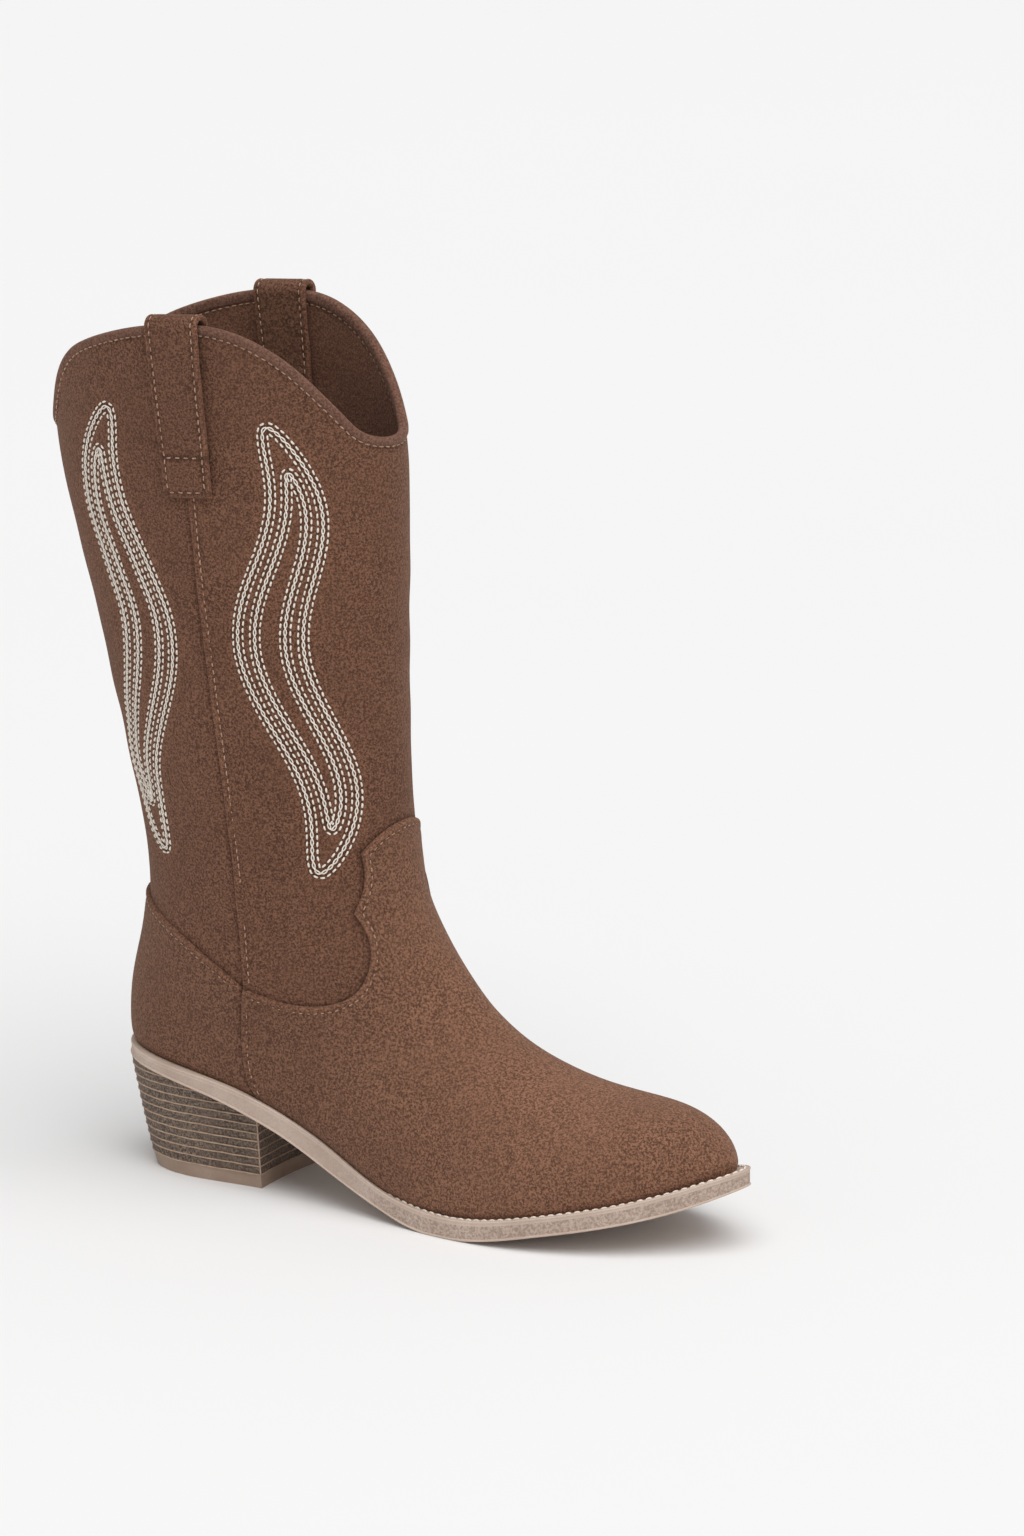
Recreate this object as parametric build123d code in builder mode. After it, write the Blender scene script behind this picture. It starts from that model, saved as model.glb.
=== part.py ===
"""Pull-on western ankle-to-calf boot, right foot, as an assembly of its real layers.

Millimetres.  +X points to the toe, +Y to the inner (medial) side, +Z up.  The origin is on
the floor under the middle of the heel's top lift.  Side views are drawn in XZ, with x
measured forward from the back of the heel seat, and `at` turns them into the row's frame.
"""
from build123d import *
import math
import os

os.makedirs("parts", exist_ok=True)

# ---- driving dimensions --------------------------------------------------------------
HEEL_TO_ORIGIN = 39.5        # back of the heel seat to the middle of the heel's tread
REACH = 90                   # half depth of every side-view cutter, past the boot's width
COVER = 1.4                  # vamp and counter leather, lying over the shaft's edges
SHAFT_LEATHER = 1.3          # shaft panels, and the stiffeners level with them
LINING = 1.0                 # suede lining inside everything
WALL_INSIDE = -(SHAFT_LEATHER + LINING)
BINDING = 0.5                # folded strip over the topline
BINDING_DROP = 2.6           # how far the binding comes down each face
BOARD = 2.2                  # insole board
SOCK = 1.2                   # sock liner
HEEL_PAD = 1.8
WELT = 1.8
WELT_WIDTH = 8.5
LIFTS = 11
LIFT = 3.4                   # one leather-look lift of the heel stack
TOP_LIFT = 5.6               # rubber tread of the heel
STRAP_THICK = 2.4
STRAP_TOP_WIDTH = 23.5
STRAP_END_WIDTH = 21.0
NAIL_RADIUS = 1.2

# One line per last section, from the mouth down the leg, round the instep and out to the
# toe: back or bottom point, front or top point, half width, back power, front power,
# where along the section it is widest, and how far its middle swings to the inner side.
STATIONS = [
    ((-46.5, 342), (111.0, 368), 38.8, 2.0, 2.0, 0.50, 0),
    ((-38.5, 292), (112.4, 315), 38.8, 2.0, 2.0, 0.50, 0),
    ((-34.0, 268), (114.0, 287), 38.6, 2.0, 2.0, 0.50, 0),
    ((-25.5, 238), (114.8, 254), 38.3, 2.0, 2.0, 0.50, 0),
    ((-15.0, 202), (114.6, 214), 37.6, 2.0, 2.0, 0.50, 0),
    ((-5.8, 166), (115.0, 173), 36.2, 2.0, 2.0, 0.50, 0),
    ((1.8, 134), (117.6, 138), 34.6, 2.05, 2.0, 0.50, 0),
    ((4.6, 112), (122.4, 117.5), 33.6, 2.1, 2.0, 0.49, 0),
    ((2.4, 92), (129.0, 104.5), 33.0, 2.2, 2.0, 0.47, 0),
    ((-1.2, 74), (135.5, 95.5), 32.4, 2.3, 2.0, 0.45, 0),
    ((-2.6, 58), (141.5, 88.2), 31.9, 2.35, 2.0, 0.44, 0),
    ((-1.0, 45), (146.5, 82.8), 31.7, 2.4, 2.0, 0.44, 0),
    ((8.0, 33), (151.5, 78.0), 31.8, 2.4, 2.0, 0.45, 0),
    ((28.0, 22), (158.0, 72.8), 32.5, 2.4, 2.0, 0.46, 0),
    ((60.0, 9), (166.0, 67.5), 34.0, 2.4, 2.0, 0.47, -0.5),
    ((98.0, -6), (177.0, 61.8), 37.0, 2.4, 2.0, 0.45, -0.5),
    ((132.0, -14), (190.0, 56.8), 40.0, 2.4, 2.05, 0.42, 0.5),
    ((162.0, -16), (203.0, 53.4), 41.2, 2.4, 2.15, 0.40, 1.5),
    ((187.0, -13), (215.0, 51.4), 39.6, 2.4, 2.25, 0.39, 2.8),
    ((210.0, -8), (227.5, 50.0), 34.6, 2.4, 2.3, 0.39, 4.2),
    ((228.0, -1), (238.0, 47.6), 27.6, 2.3, 2.3, 0.40, 5.2),
    ((241.0, 6), (246.5, 44.0), 20.2, 2.2, 2.2, 0.42, 5.8),
    ((249.5, 12), (252.5, 39.8), 13.5, 2.1, 2.1, 0.45, 6.0),
    ((255.0, 17), (256.4, 35.3), 7.0, 2.0, 2.0, 0.48, 6.0),
    ((257.8, 21), (258.3, 31.0), 2.5, 2.0, 2.0, 0.50, 6.0),
]
LEG_STATIONS = slice(0, 19)      # the leg's loft runs a little past the joint
TOE_STATIONS = slice(15, 25)     # and the toe's loft starts a little before it
JOINT_STATION = STATIONS[16]     # both are cut on this section and joined
NOSE_START = 200.0               # from here on the sections close in to the toe
NOSE_LENGTH = 58.5
NOSE_HALF_WIDTH = 38.0
NOSE_MIDDLE_Z = 31.0
NOSE_HEIGHT = 20.0
SECTION_POINTS = 12

# ---- side-view lines of the boot, (x from the heel's back, z) -------------------------
TOPLINE = [(-62, 282), (-41, 283.5), (-33, 290.5), (-28.3, 300), (-23.3, 310.5), (-15.4, 320),
           (-5, 326), (6, 330.2), (18, 333.8), (32, 336.6), (47, 338), (60, 336.9),
           (73.8, 332), (84.7, 325), (94.9, 315), (102.6, 305.6), (107.5, 299.6),
           (112.3, 296.8), (135, 296)]
VAMP_TONGUE = [(135, 151), (118.2, 149.6), (113.4, 145), (108.4, 137.7)]
VAMP_NOTCH = [(108.4, 137.7), (109.8, 130), (109.6, 122), (107.6, 114.7)]
VAMP_SCALLOP = [(107.6, 114.7), (111.6, 108.5), (114.2, 101.5), (114.2, 93), (110.5, 84.8),
                (101.7, 79.4), (89.6, 77.3), (77.4, 78.2), (63.6, 81.4)]
COUNTER_ARC = [(63.6, 81.4), (29.4, 99.6), (-30, 121)]
SEAM_TOP = (63.6, 81.4)
SEAM_ARC = [(63.2, 57), (65.6, 45), (76, 33)]
SEAM_FOOT = (84, -40)
SIDE_SEAM = [(36, 360), (37.8, 334), (44.2, 271), (46.3, 250), (50.8, 213), (55.5, 174),
             (60.3, 132), (62.4, 106), (63.6, 81.4), (63.8, -40)]
SHAFT_HEM = [(-40, 112), (4, 103), (20, 94.5), (35, 85.5), (50, 77), (62, 71.5), (76, 69.5),
             (90, 68.5), (104, 70.5), (116, 77), (122, 88), (122.3, 99), (118.6, 108),
             (117, 118), (119, 129), (140, 140)]
LINING_SEAM_Z = 120.0            # leg lining above, foot lining below
FOOT_LINING_SPLIT_X = 66.0
TOE_PUFF_BACK = 212.0
SOLE_TOP = [(-8, 47.6), (0, 47.4), (23, 45.2), (44, 43), (63, 39.5), (82, 33.5), (105, 23.5),
            (116, 18), (131, 12), (147, 8.8), (161, 8), (175, 9), (187, 11), (201, 13.8),
            (221, 18), (240, 23), (256, 28.4), (272, 34)]
SOLE_REAR = [(-8, 42.6), (0, 42.3), (15, 41.2), (33, 38.6), (52, 34.8), (67.5, 30.2),
             (82.5, 24.6), (95, 18.8), (107, 13.2), (119, 8.3), (132, 3.9), (142, 1.2), (151, 0)]
SOLE_FRONT = [(164, 0), (175, 1.1), (187.5, 3.4), (199.5, 6), (212, 8.5), (231, 12.7),
              (248.5, 17.8), (260, 22.4), (272, 28)]

# ---- the sole's outline from below, (x, y), outer side first ---------------------------
SOLE_OUTER = [(30, -31.8), (50, -33.4), (70, -33.6), (95, -34), (120, -36.8), (148, -41.6),
              (172, -43.6), (195, -41.4), (215, -35.4), (235, -25), (251, -12.5)]
SOLE_INNER = [(251, 23.5), (235, 34.2), (215, 41.2), (195, 44.8), (172, 45.4), (148, 42.8),
              (120, 37), (95, 33.6), (70, 33.6), (50, 33.4), (30, 31.8)]
SOLE_TIP = (264.6, 6.0)
SOLE_BACK = (-4.2, 0)
SOLE_CORNERS = [(10, -25), (1, -16)]

# ---- heel block ------------------------------------------------------------------------
HEEL_BREAST = 67.0
BREAST_HOLLOW = 1.8
HEEL_SEAT_Z = 43.0
HEEL_BACK_TOP = -0.5
HEEL_BACK_FLOOR = 9.6
HEEL_HALF_TOP = 31.2
HEEL_HALF_FLOOR = 26.4
NAILS = [(20, 0), (33, -13), (33, 13), (54, -14), (54, 14)]
NAIL_POINT_Z = 12.0

# ---- pull straps -----------------------------------------------------------------------
STRAP_END_Z = 272.5
STRAP_FOLD_Z = 288.0             # top of the folded and boxed end
STRAP_INSIDE_Z = 288.0           # where the inner leg ends
STRAP_TOP_Z = 342.0
STRAP_END_X = 45.4
STRAP_TOP_X = 38.0
STRAP_OUTER_FACE = 42.2          # outside of the outer leg, from the boot's middle plane
STRAP_INNER_FACE = 32.6          # inside of the inner leg

# ---- shank -------------------------------------------------------------------------------
SHANK_START = 28.0
SHANK_END = 132.0
SHANK_WIDTH = 13.0
FILLER_SPLIT = 134.0


# ---- helpers -------------------------------------------------------------------------
def at(x, z):
    """A side-view point in the row's frame."""
    return (x - HEEL_TO_ORIGIN, z)


def side(points, rise=0.0):
    """A list of side-view points in the row's frame, lifted by `rise`."""
    return [at(x, z + rise) for x, z in points]


def plan(points):
    """A list of points of the outline from below, in the row's frame."""
    return [(x - HEEL_TO_ORIGIN, y) for x, y in points]


def offset_station(station, grow):
    """The same last section for a skin `grow` mm further out, or further in below zero."""
    (back_x, back_z), (front_x, front_z), half, back_power, front_power, widest, swing = station
    if back_x < NOSE_START:
        length = math.hypot(front_x - back_x, front_z - back_z)
        step_x = grow * (front_x - back_x) / length
        step_z = grow * (front_z - back_z) / length
        back = (back_x - step_x, back_z - step_z)
        front = (front_x + step_x, front_z + step_z)
        return back, front, half + grow, back_power, front_power, widest, swing
    stretch = 1 + grow / NOSE_LENGTH
    lift = 1 + grow / NOSE_HEIGHT
    back = (NOSE_START + (back_x - NOSE_START) * stretch, back_z)
    front = (NOSE_START + (front_x - NOSE_START) * stretch,
             NOSE_MIDDLE_Z + (front_z - NOSE_MIDDLE_Z) * lift)
    half = half * (1 + grow / NOSE_HALF_WIDTH)
    return back, front, half, back_power, front_power, widest, swing


def signed_power(value, power):
    """Keep the sign of a cosine or sine while raising its size to a power."""
    return math.copysign(abs(value) ** power, value) if abs(value) > 1e-9 else 0.0


def section_points(station):
    """Points round one egg-shaped section, in its own plane, from its back point."""
    back, front, half, back_power, front_power, widest, swing = station
    length = math.hypot(front[0] - back[0], front[1] - back[1])
    points = []
    for index in range(SECTION_POINTS):
        angle = 2 * math.pi * index / SECTION_POINTS
        power = back_power if math.cos(angle) > 0 else front_power
        share = widest if math.cos(angle) > 0 else 1 - widest
        along = widest - share * signed_power(math.cos(angle), 2 / power)
        across = half * signed_power(math.sin(angle), 2 / power)
        points.append(((along - 0.5) * length, swing + across))
    return points


def section_plane(station):
    """The plane of a section, with its x from the back point to the front point."""
    (back_x, back_z), (front_x, front_z) = station[0], station[1]
    run, rise = front_x - back_x, front_z - back_z
    middle_x, middle_z = at((back_x + front_x) / 2, (back_z + front_z) / 2)
    return Plane(origin=(middle_x, 0, middle_z), x_dir=(run, 0, rise), z_dir=(-rise, 0, run))


def half_form(stations, grow, keep):
    """One loft through last sections, cut on the joint section."""
    with BuildPart() as form:
        for station in stations:
            moved = offset_station(station, grow)
            with BuildSketch(section_plane(moved)):
                with BuildLine():
                    Spline(*section_points(moved), periodic=True)
                make_face()
        loft()
        split(bisect_by=section_plane(JOINT_STATION), keep=keep)
    return form.part


def boot_form(grow):
    """The boot's whole outer shape, `grow` mm outside the shaft leather's face."""
    with BuildPart() as form:
        add(half_form(STATIONS[LEG_STATIONS], grow, Keep.TOP))
        add(half_form(STATIONS[TOE_STATIONS], grow, Keep.BOTTOM))
    return form.part


def band(lower, upper):
    """Side-view slab between two open lines that run from the back to the toe."""
    with BuildPart() as slab:
        with BuildSketch(Plane.XZ):
            with BuildLine():
                low = Spline(*lower)
                high = Spline(*upper)
                Line(low @ 0, high @ 0)
                Line(low @ 1, high @ 1)
            make_face()
        extrude(amount=REACH, both=True)
    return slab.part


def box_between(x_low, x_high, z_low, z_high):
    """Side-view rectangle as a slab."""
    with BuildPart() as block:
        with BuildSketch(Plane.XZ):
            with BuildLine():
                Polyline(*side([(x_low, z_low), (x_high, z_low), (x_high, z_high),
                                (x_low, z_high)]), close=True)
            make_face()
        extrude(amount=REACH, both=True)
    return block.part


def layer(outer, inner, keep, drop=()):
    """The skin between two forms, inside every `keep` region and outside every `drop` one."""
    with BuildPart() as skin:
        add(outer)
        for region in keep:
            add(region.part, mode=Mode.INTERSECT)
        for region in drop:
            add(region.part, mode=Mode.SUBTRACT)
        add(inner, mode=Mode.SUBTRACT)
    return skin


def trimmed(form):
    """A form with everything under the sole's top face cut away."""
    with BuildPart() as trimmed_form:
        add(form)
        add(above_sole.part, mode=Mode.INTERSECT)
    return trimmed_form.part


def quarter_seam():
    """Lines of the seam between vamp and counter, for use inside a BuildLine."""
    Line(*side([SEAM_TOP, SEAM_ARC[0]]))
    ThreePointArc(*side(SEAM_ARC))
    Line(*side([SEAM_ARC[-1], SEAM_FOOT]))


def write(builder, name):
    """Label a finished piece and write it as one STEP."""
    builder.part.label = name
    export_step(builder.part, f"parts/{name}.step")


# ---- regions of the side view ----------------------------------------------------------
with BuildPart() as above_sole:
    with BuildSketch(Plane.XZ):
        with BuildLine():
            ground = Spline(*side(SOLE_TOP))
            Polyline(ground @ 1, at(272, 400), at(-62, 400), at(-62, 47.6), ground @ 0)
        make_face()
    extrude(amount=REACH, both=True)

with BuildPart() as below_topline:
    with BuildSketch(Plane.XZ):
        with BuildLine():
            mouth = Spline(*side(TOPLINE))
            Polyline(mouth @ 1, at(290, 296), at(290, -30), at(-62, -30), mouth @ 0)
        make_face()
    extrude(amount=REACH, both=True)

with BuildPart() as vamp_region:
    with BuildSketch(Plane.XZ):
        with BuildLine():
            Spline(*side(VAMP_TONGUE))
            Spline(*side(VAMP_NOTCH))
            Spline(*side(VAMP_SCALLOP))
            quarter_seam()
            Polyline(*side([SEAM_FOOT, (290, -40), (290, 151), VAMP_TONGUE[0]]))
        make_face()
    extrude(amount=REACH, both=True)

with BuildPart() as counter_region:
    with BuildSketch(Plane.XZ):
        with BuildLine():
            ThreePointArc(*side(COUNTER_ARC))
            quarter_seam()
            Polyline(*side([SEAM_FOOT, (-30, -40), COUNTER_ARC[-1]]))
        make_face()
    extrude(amount=REACH, both=True)

with BuildPart() as above_hem:
    with BuildSketch(Plane.XZ):
        with BuildLine():
            hem = Spline(*side(SHAFT_HEM))
            Polyline(hem @ 1, at(140, 380), at(-70, 380), at(-70, 112), hem @ 0)
        make_face()
    extrude(amount=REACH, both=True)

with BuildPart() as ahead_of_seam:
    with BuildSketch(Plane.XZ):
        with BuildLine():
            seam = Spline(*side(SIDE_SEAM))
            Polyline(seam @ 1, at(290, -40), at(290, 360), seam @ 0)
        make_face()
    extrude(amount=REACH, both=True)

with BuildPart() as toe_end:
    add(box_between(TOE_PUFF_BACK, 300, -30, 160))

with BuildPart() as leg_zone:
    add(box_between(-80, 160, LINING_SEAM_Z, 400))

with BuildPart() as foot_front_zone:
    add(box_between(FOOT_LINING_SPLIT_X, 300, -30, LINING_SEAM_Z))

with BuildPart() as foot_back_zone:
    add(box_between(-40, FOOT_LINING_SPLIT_X, -30, LINING_SEAM_Z))

# ---- the nested forms that every skin is cut from ----------------------------------------
cover_form = trimmed(boot_form(COVER))
face_form = trimmed(boot_form(0))
stiffener_form = trimmed(boot_form(-SHAFT_LEATHER))
inside_form = boot_form(WALL_INSIDE)

# ---- vamp and counter --------------------------------------------------------------------
vamp = layer(cover_form, face_form, [vamp_region])
write(vamp, "vamp")

counter_cover = layer(cover_form, face_form, [counter_region])
write(counter_cover, "counter_cover")

# ---- shaft panels, and the stiffeners below their hem --------------------------------------
shaft_front_panel = layer(face_form, stiffener_form, [below_topline, above_hem, ahead_of_seam])
write(shaft_front_panel, "shaft_front_panel")

shaft_back_panel = layer(face_form, stiffener_form, [below_topline, above_hem], [ahead_of_seam])
write(shaft_back_panel, "shaft_back_panel")

toe_puff = layer(face_form, stiffener_form, [toe_end])
write(toe_puff, "toe_puff")

vamp_interlining = layer(face_form, stiffener_form, [ahead_of_seam], [above_hem, toe_end])
write(vamp_interlining, "vamp_interlining")

heel_stiffener = layer(face_form, stiffener_form, [], [above_hem, ahead_of_seam])
write(heel_stiffener, "heel_stiffener")

# ---- linings ---------------------------------------------------------------------------------
leg_keep = [below_topline, leg_zone]
shaft_lining_front = layer(stiffener_form, inside_form, leg_keep + [ahead_of_seam])
write(shaft_lining_front, "shaft_lining_front")

shaft_lining_back = layer(stiffener_form, inside_form, leg_keep, [ahead_of_seam])
write(shaft_lining_back, "shaft_lining_back")

vamp_lining = layer(stiffener_form, inside_form, [foot_front_zone])
write(vamp_lining, "vamp_lining")

heel_lining = layer(stiffener_form, inside_form, [foot_back_zone])
write(heel_lining, "heel_lining")

# ---- topline binding: a channel folded over the edge of shaft and lining ----------------------
with BuildPart() as under_the_fold:
    add(face_form)
    add(inside_form, mode=Mode.SUBTRACT)
    add(below_topline.part, mode=Mode.INTERSECT)

with BuildPart() as topline_binding:
    add(boot_form(BINDING))
    add(band(side(TOPLINE, -BINDING_DROP), side(TOPLINE, BINDING)), mode=Mode.INTERSECT)
    add(boot_form(WALL_INSIDE - BINDING), mode=Mode.SUBTRACT)
    add(under_the_fold.part, mode=Mode.SUBTRACT)
write(topline_binding, "topline_binding")


# ---- pull straps --------------------------------------------------------------------------------
def pull_strap(direction):
    """One looped strap; `direction` is -1 on the outer side and 1 on the inner side."""
    lean = (STRAP_TOP_X - STRAP_END_X) / (STRAP_TOP_Z - STRAP_END_Z)
    rise = math.hypot(1, lean)
    foot_x, foot_z = at(STRAP_END_X, STRAP_END_Z)
    plane = Plane(origin=(foot_x, 0, foot_z), x_dir=(0, direction, 0),
                  z_dir=(direction, 0, -direction * lean))
    top = (STRAP_TOP_Z - STRAP_END_Z) * rise
    fold = (STRAP_FOLD_Z - STRAP_END_Z) * rise
    inner_end = (STRAP_INSIDE_Z - STRAP_END_Z) * rise
    outside, inside = STRAP_OUTER_FACE, STRAP_INNER_FACE
    bend = (outside - inside) / 2
    seat = STATIONS[1][2] + 0.15
    with BuildPart() as strap:
        with BuildSketch(plane):
            with BuildLine():
                Polyline((outside, top - bend), (outside, 0), (seat, 0), (seat, fold),
                         (outside - STRAP_THICK, fold + 3), (outside - STRAP_THICK, top - bend))
                ThreePointArc((outside - STRAP_THICK, top - bend),
                              ((outside + inside) / 2, top - STRAP_THICK),
                              (inside + STRAP_THICK, top - bend))
                Polyline((inside + STRAP_THICK, top - bend), (inside + STRAP_THICK, inner_end),
                         (inside, inner_end), (inside, top - bend))
                ThreePointArc((inside, top - bend), ((outside + inside) / 2, top),
                              (outside, top - bend))
            make_face()
        extrude(amount=STRAP_TOP_WIDTH / 2, both=True)
        with BuildSketch(Plane.XZ):
            with BuildLine():
                end, head = STRAP_END_WIDTH / 2, STRAP_TOP_WIDTH / 2
                Polyline(*side([(STRAP_END_X - end, STRAP_END_Z - 3),
                                (STRAP_END_X + end, STRAP_END_Z - 3),
                                (STRAP_TOP_X + head, STRAP_TOP_Z + 3),
                                (STRAP_TOP_X - head, STRAP_TOP_Z + 3)]), close=True)
            make_face()
        extrude(amount=REACH, both=True, mode=Mode.INTERSECT)
    return strap


write(pull_strap(-1), "pull_strap_outer")
write(pull_strap(1), "pull_strap_inner")


# ---- outlines of the bottom ---------------------------------------------------------------------
def drawn_in(points, inset):
    """A closed ring of points moved inwards, each square to its two neighbours."""
    moved = []
    for index, (x, y) in enumerate(points):
        before, after = points[index - 1], points[(index + 1) % len(points)]
        run, rise = after[0] - before[0], after[1] - before[1]
        length = math.hypot(run, rise)
        moved.append((x - inset * rise / length, y + inset * run / length))
    return moved


def sole_outline(inset=0.0):
    """Face of the sole's outline, drawn in smaller by `inset`."""
    outer = SOLE_CORNERS[::-1] + SOLE_OUTER
    inner = SOLE_INNER + [(x, -y) for x, y in SOLE_CORNERS]
    ring = drawn_in([SOLE_BACK] + outer + [SOLE_TIP] + inner, inset)
    with BuildSketch(Plane.XY.offset(-10)) as outline:
        with BuildLine():
            Spline(*plan(ring), periodic=True)
        make_face()
    return outline.sketch


def plan_prism(inset=0.0):
    """The sole's outline standing up as a column."""
    with BuildPart() as column:
        extrude(sole_outline(inset), amount=90)
    return column.part


with BuildPart() as sole_slab:
    with BuildSketch(Plane.XZ):
        with BuildLine():
            under_welt = Spline(*side(SOLE_TOP, -WELT))
            rear = Spline(*side(SOLE_REAR))
            tread = Line(rear @ 1, at(*SOLE_FRONT[0]))
            front = Spline(*side(SOLE_FRONT), tangents=((1, 0), (1, 0.45)))
            Line(front @ 1, under_welt @ 1)
            Line(rear @ 0, under_welt @ 0)
        make_face()
    extrude(amount=REACH, both=True)

with BuildPart() as welt_slab:
    add(band(side(SOLE_TOP, -WELT), side(SOLE_TOP)))

with BuildPart() as nail_shafts:
    with Locations(*[(x - HEEL_TO_ORIGIN, y, NAIL_POINT_Z) for x, y in NAILS]):
        Cylinder(NAIL_RADIUS, 60, align=(Align.CENTER, Align.CENTER, Align.MIN))

with BuildPart() as outsole:
    add(sole_slab.part)
    add(plan_prism(), mode=Mode.INTERSECT)
    add(nail_shafts.part, mode=Mode.SUBTRACT)
write(outsole, "outsole")

with BuildPart() as welt:
    add(welt_slab.part)
    add(plan_prism(), mode=Mode.INTERSECT)
    add(plan_prism(WELT_WIDTH), mode=Mode.SUBTRACT)
write(welt, "welt")

# ---- shank and fillers inside the welt -------------------------------------------------------------
with BuildPart() as inside_welt:
    add(welt_slab.part)
    add(plan_prism(WELT_WIDTH), mode=Mode.INTERSECT)

with BuildPart() as shank_blank:
    add(box_between(SHANK_START, SHANK_END, -10, 60))
    with BuildSketch(Plane.XY.offset(-10)):
        with Locations(((SHANK_START + SHANK_END) / 2 - HEEL_TO_ORIGIN, 0)):
            SlotOverall(SHANK_END - SHANK_START, SHANK_WIDTH)
    extrude(amount=80, mode=Mode.INTERSECT)

with BuildPart() as shank:
    add(inside_welt.part)
    add(shank_blank.part, mode=Mode.INTERSECT)
    add(nail_shafts.part, mode=Mode.SUBTRACT)
write(shank, "shank")

with BuildPart() as waist_filler:
    add(inside_welt.part)
    add(box_between(-20, FILLER_SPLIT, -10, 60), mode=Mode.INTERSECT)
    add(shank_blank.part, mode=Mode.SUBTRACT)
    add(nail_shafts.part, mode=Mode.SUBTRACT)
write(waist_filler, "waist_filler")

with BuildPart() as forefoot_filler:
    add(inside_welt.part)
    add(box_between(FILLER_SPLIT, 300, -10, 60), mode=Mode.INTERSECT)
write(forefoot_filler, "forefoot_filler")

# ---- insole, heel pad and sock liner ------------------------------------------------------------------
with BuildPart() as insole_board:
    add(inside_form)
    add(band(side(SOLE_TOP), side(SOLE_TOP, BOARD)), mode=Mode.INTERSECT)
    add(nail_shafts.part, mode=Mode.SUBTRACT)
write(insole_board, "insole_board")

with BuildPart() as sock_liner:
    add(inside_form)
    add(band(side(SOLE_TOP, BOARD), side(SOLE_TOP, BOARD + SOCK)), mode=Mode.INTERSECT)
write(sock_liner, "sock_liner")

with BuildPart() as heel_pad:
    add(inside_form)
    add(band(side(SOLE_TOP, BOARD + SOCK), side(SOLE_TOP, BOARD + SOCK + HEEL_PAD)),
        mode=Mode.INTERSECT)
    with BuildSketch(Plane.XY.offset(-10)):
        with Locations((36 - HEEL_TO_ORIGIN, 0)):
            SlotOverall(60, 40)
    extrude(amount=90, mode=Mode.INTERSECT)
write(heel_pad, "heel_pad")

with BuildPart() as heel_nails:
    add(nail_shafts.part)
    add(band([at(-8, -20), at(20, -20), at(272, -20)], side(SOLE_TOP, BOARD)), mode=Mode.INTERSECT)
write(heel_nails, "heel_nails")


# ---- heel stack --------------------------------------------------------------------------------------------
def heel_outline(z):
    """The heel's outline at a height: round back, fuller sides, slightly hollow breast."""
    share = z / HEEL_SEAT_Z
    back = HEEL_BACK_FLOOR + (HEEL_BACK_TOP - HEEL_BACK_FLOOR) * share ** 0.85
    half = HEEL_HALF_FLOOR + (HEEL_HALF_TOP - HEEL_HALF_FLOOR) * share
    corner = half - 1.0
    length = HEEL_BREAST - back
    rim = [(HEEL_BREAST - 0.42 * length, half), (back + 0.23 * length, 0.9 * half),
           (back + 0.055 * length, 0.62 * half)]
    with BuildSketch(Plane.XY.offset(z)) as outline:
        with BuildLine():
            Spline(*plan([(HEEL_BREAST, -corner)] + [(x, -y) for x, y in rim] + [(back, 0)]
                         + rim[::-1] + [(HEEL_BREAST, corner)]))
            ThreePointArc(*plan([(HEEL_BREAST, corner), (HEEL_BREAST - BREAST_HOLLOW, 0),
                                 (HEEL_BREAST, -corner)]))
        make_face()
    return outline.sketch


def heel_slice(z_low, z_high):
    """The block of the heel between two heights."""
    with BuildPart() as block:
        loft([heel_outline(z_low).face(), heel_outline(z_high).face()])
    return block.part


with BuildPart() as under_sole:
    add(band([at(-8, -20), at(60, -20), at(151, -20)], side(SOLE_REAR)))

for number in range(LIFTS):
    low = TOP_LIFT + number * LIFT
    with BuildPart() as heel_lift:
        add(heel_slice(low, low + LIFT))
        add(under_sole.part, mode=Mode.INTERSECT)
        add(nail_shafts.part, mode=Mode.SUBTRACT)
    write(heel_lift, f"heel_lift_{number + 1:02d}")

with BuildPart() as top_lift:
    add(heel_slice(0, TOP_LIFT))
write(top_lift, "top_lift")
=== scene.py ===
"""Finished look of the pull-on western boot, right foot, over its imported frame.

The upper is rebuilt as separate closed skins on the last's own sections, with folded edges,
laps, puckers and real stitches.  Millimetres throughout, in the row's frame; `build_mesh`
turns them into metres.
"""
import bpy
import math
import numpy as np
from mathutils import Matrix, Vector, kdtree


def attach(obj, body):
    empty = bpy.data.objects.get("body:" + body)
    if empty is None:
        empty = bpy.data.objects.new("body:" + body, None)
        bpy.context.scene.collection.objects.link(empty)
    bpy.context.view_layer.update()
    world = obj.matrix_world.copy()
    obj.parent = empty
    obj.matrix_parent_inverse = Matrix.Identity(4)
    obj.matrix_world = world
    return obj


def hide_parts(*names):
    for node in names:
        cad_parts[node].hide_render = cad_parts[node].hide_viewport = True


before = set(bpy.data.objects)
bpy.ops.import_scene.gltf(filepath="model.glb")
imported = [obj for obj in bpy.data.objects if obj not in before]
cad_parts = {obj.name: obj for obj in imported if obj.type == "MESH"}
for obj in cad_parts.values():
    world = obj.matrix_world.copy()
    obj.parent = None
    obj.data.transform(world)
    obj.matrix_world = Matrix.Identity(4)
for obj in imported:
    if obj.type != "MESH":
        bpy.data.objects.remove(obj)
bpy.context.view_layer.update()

# ---- the last: back point, front point, half width, powers, widest share, swing --------------
HEEL_TO_ORIGIN = 39.5
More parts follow.
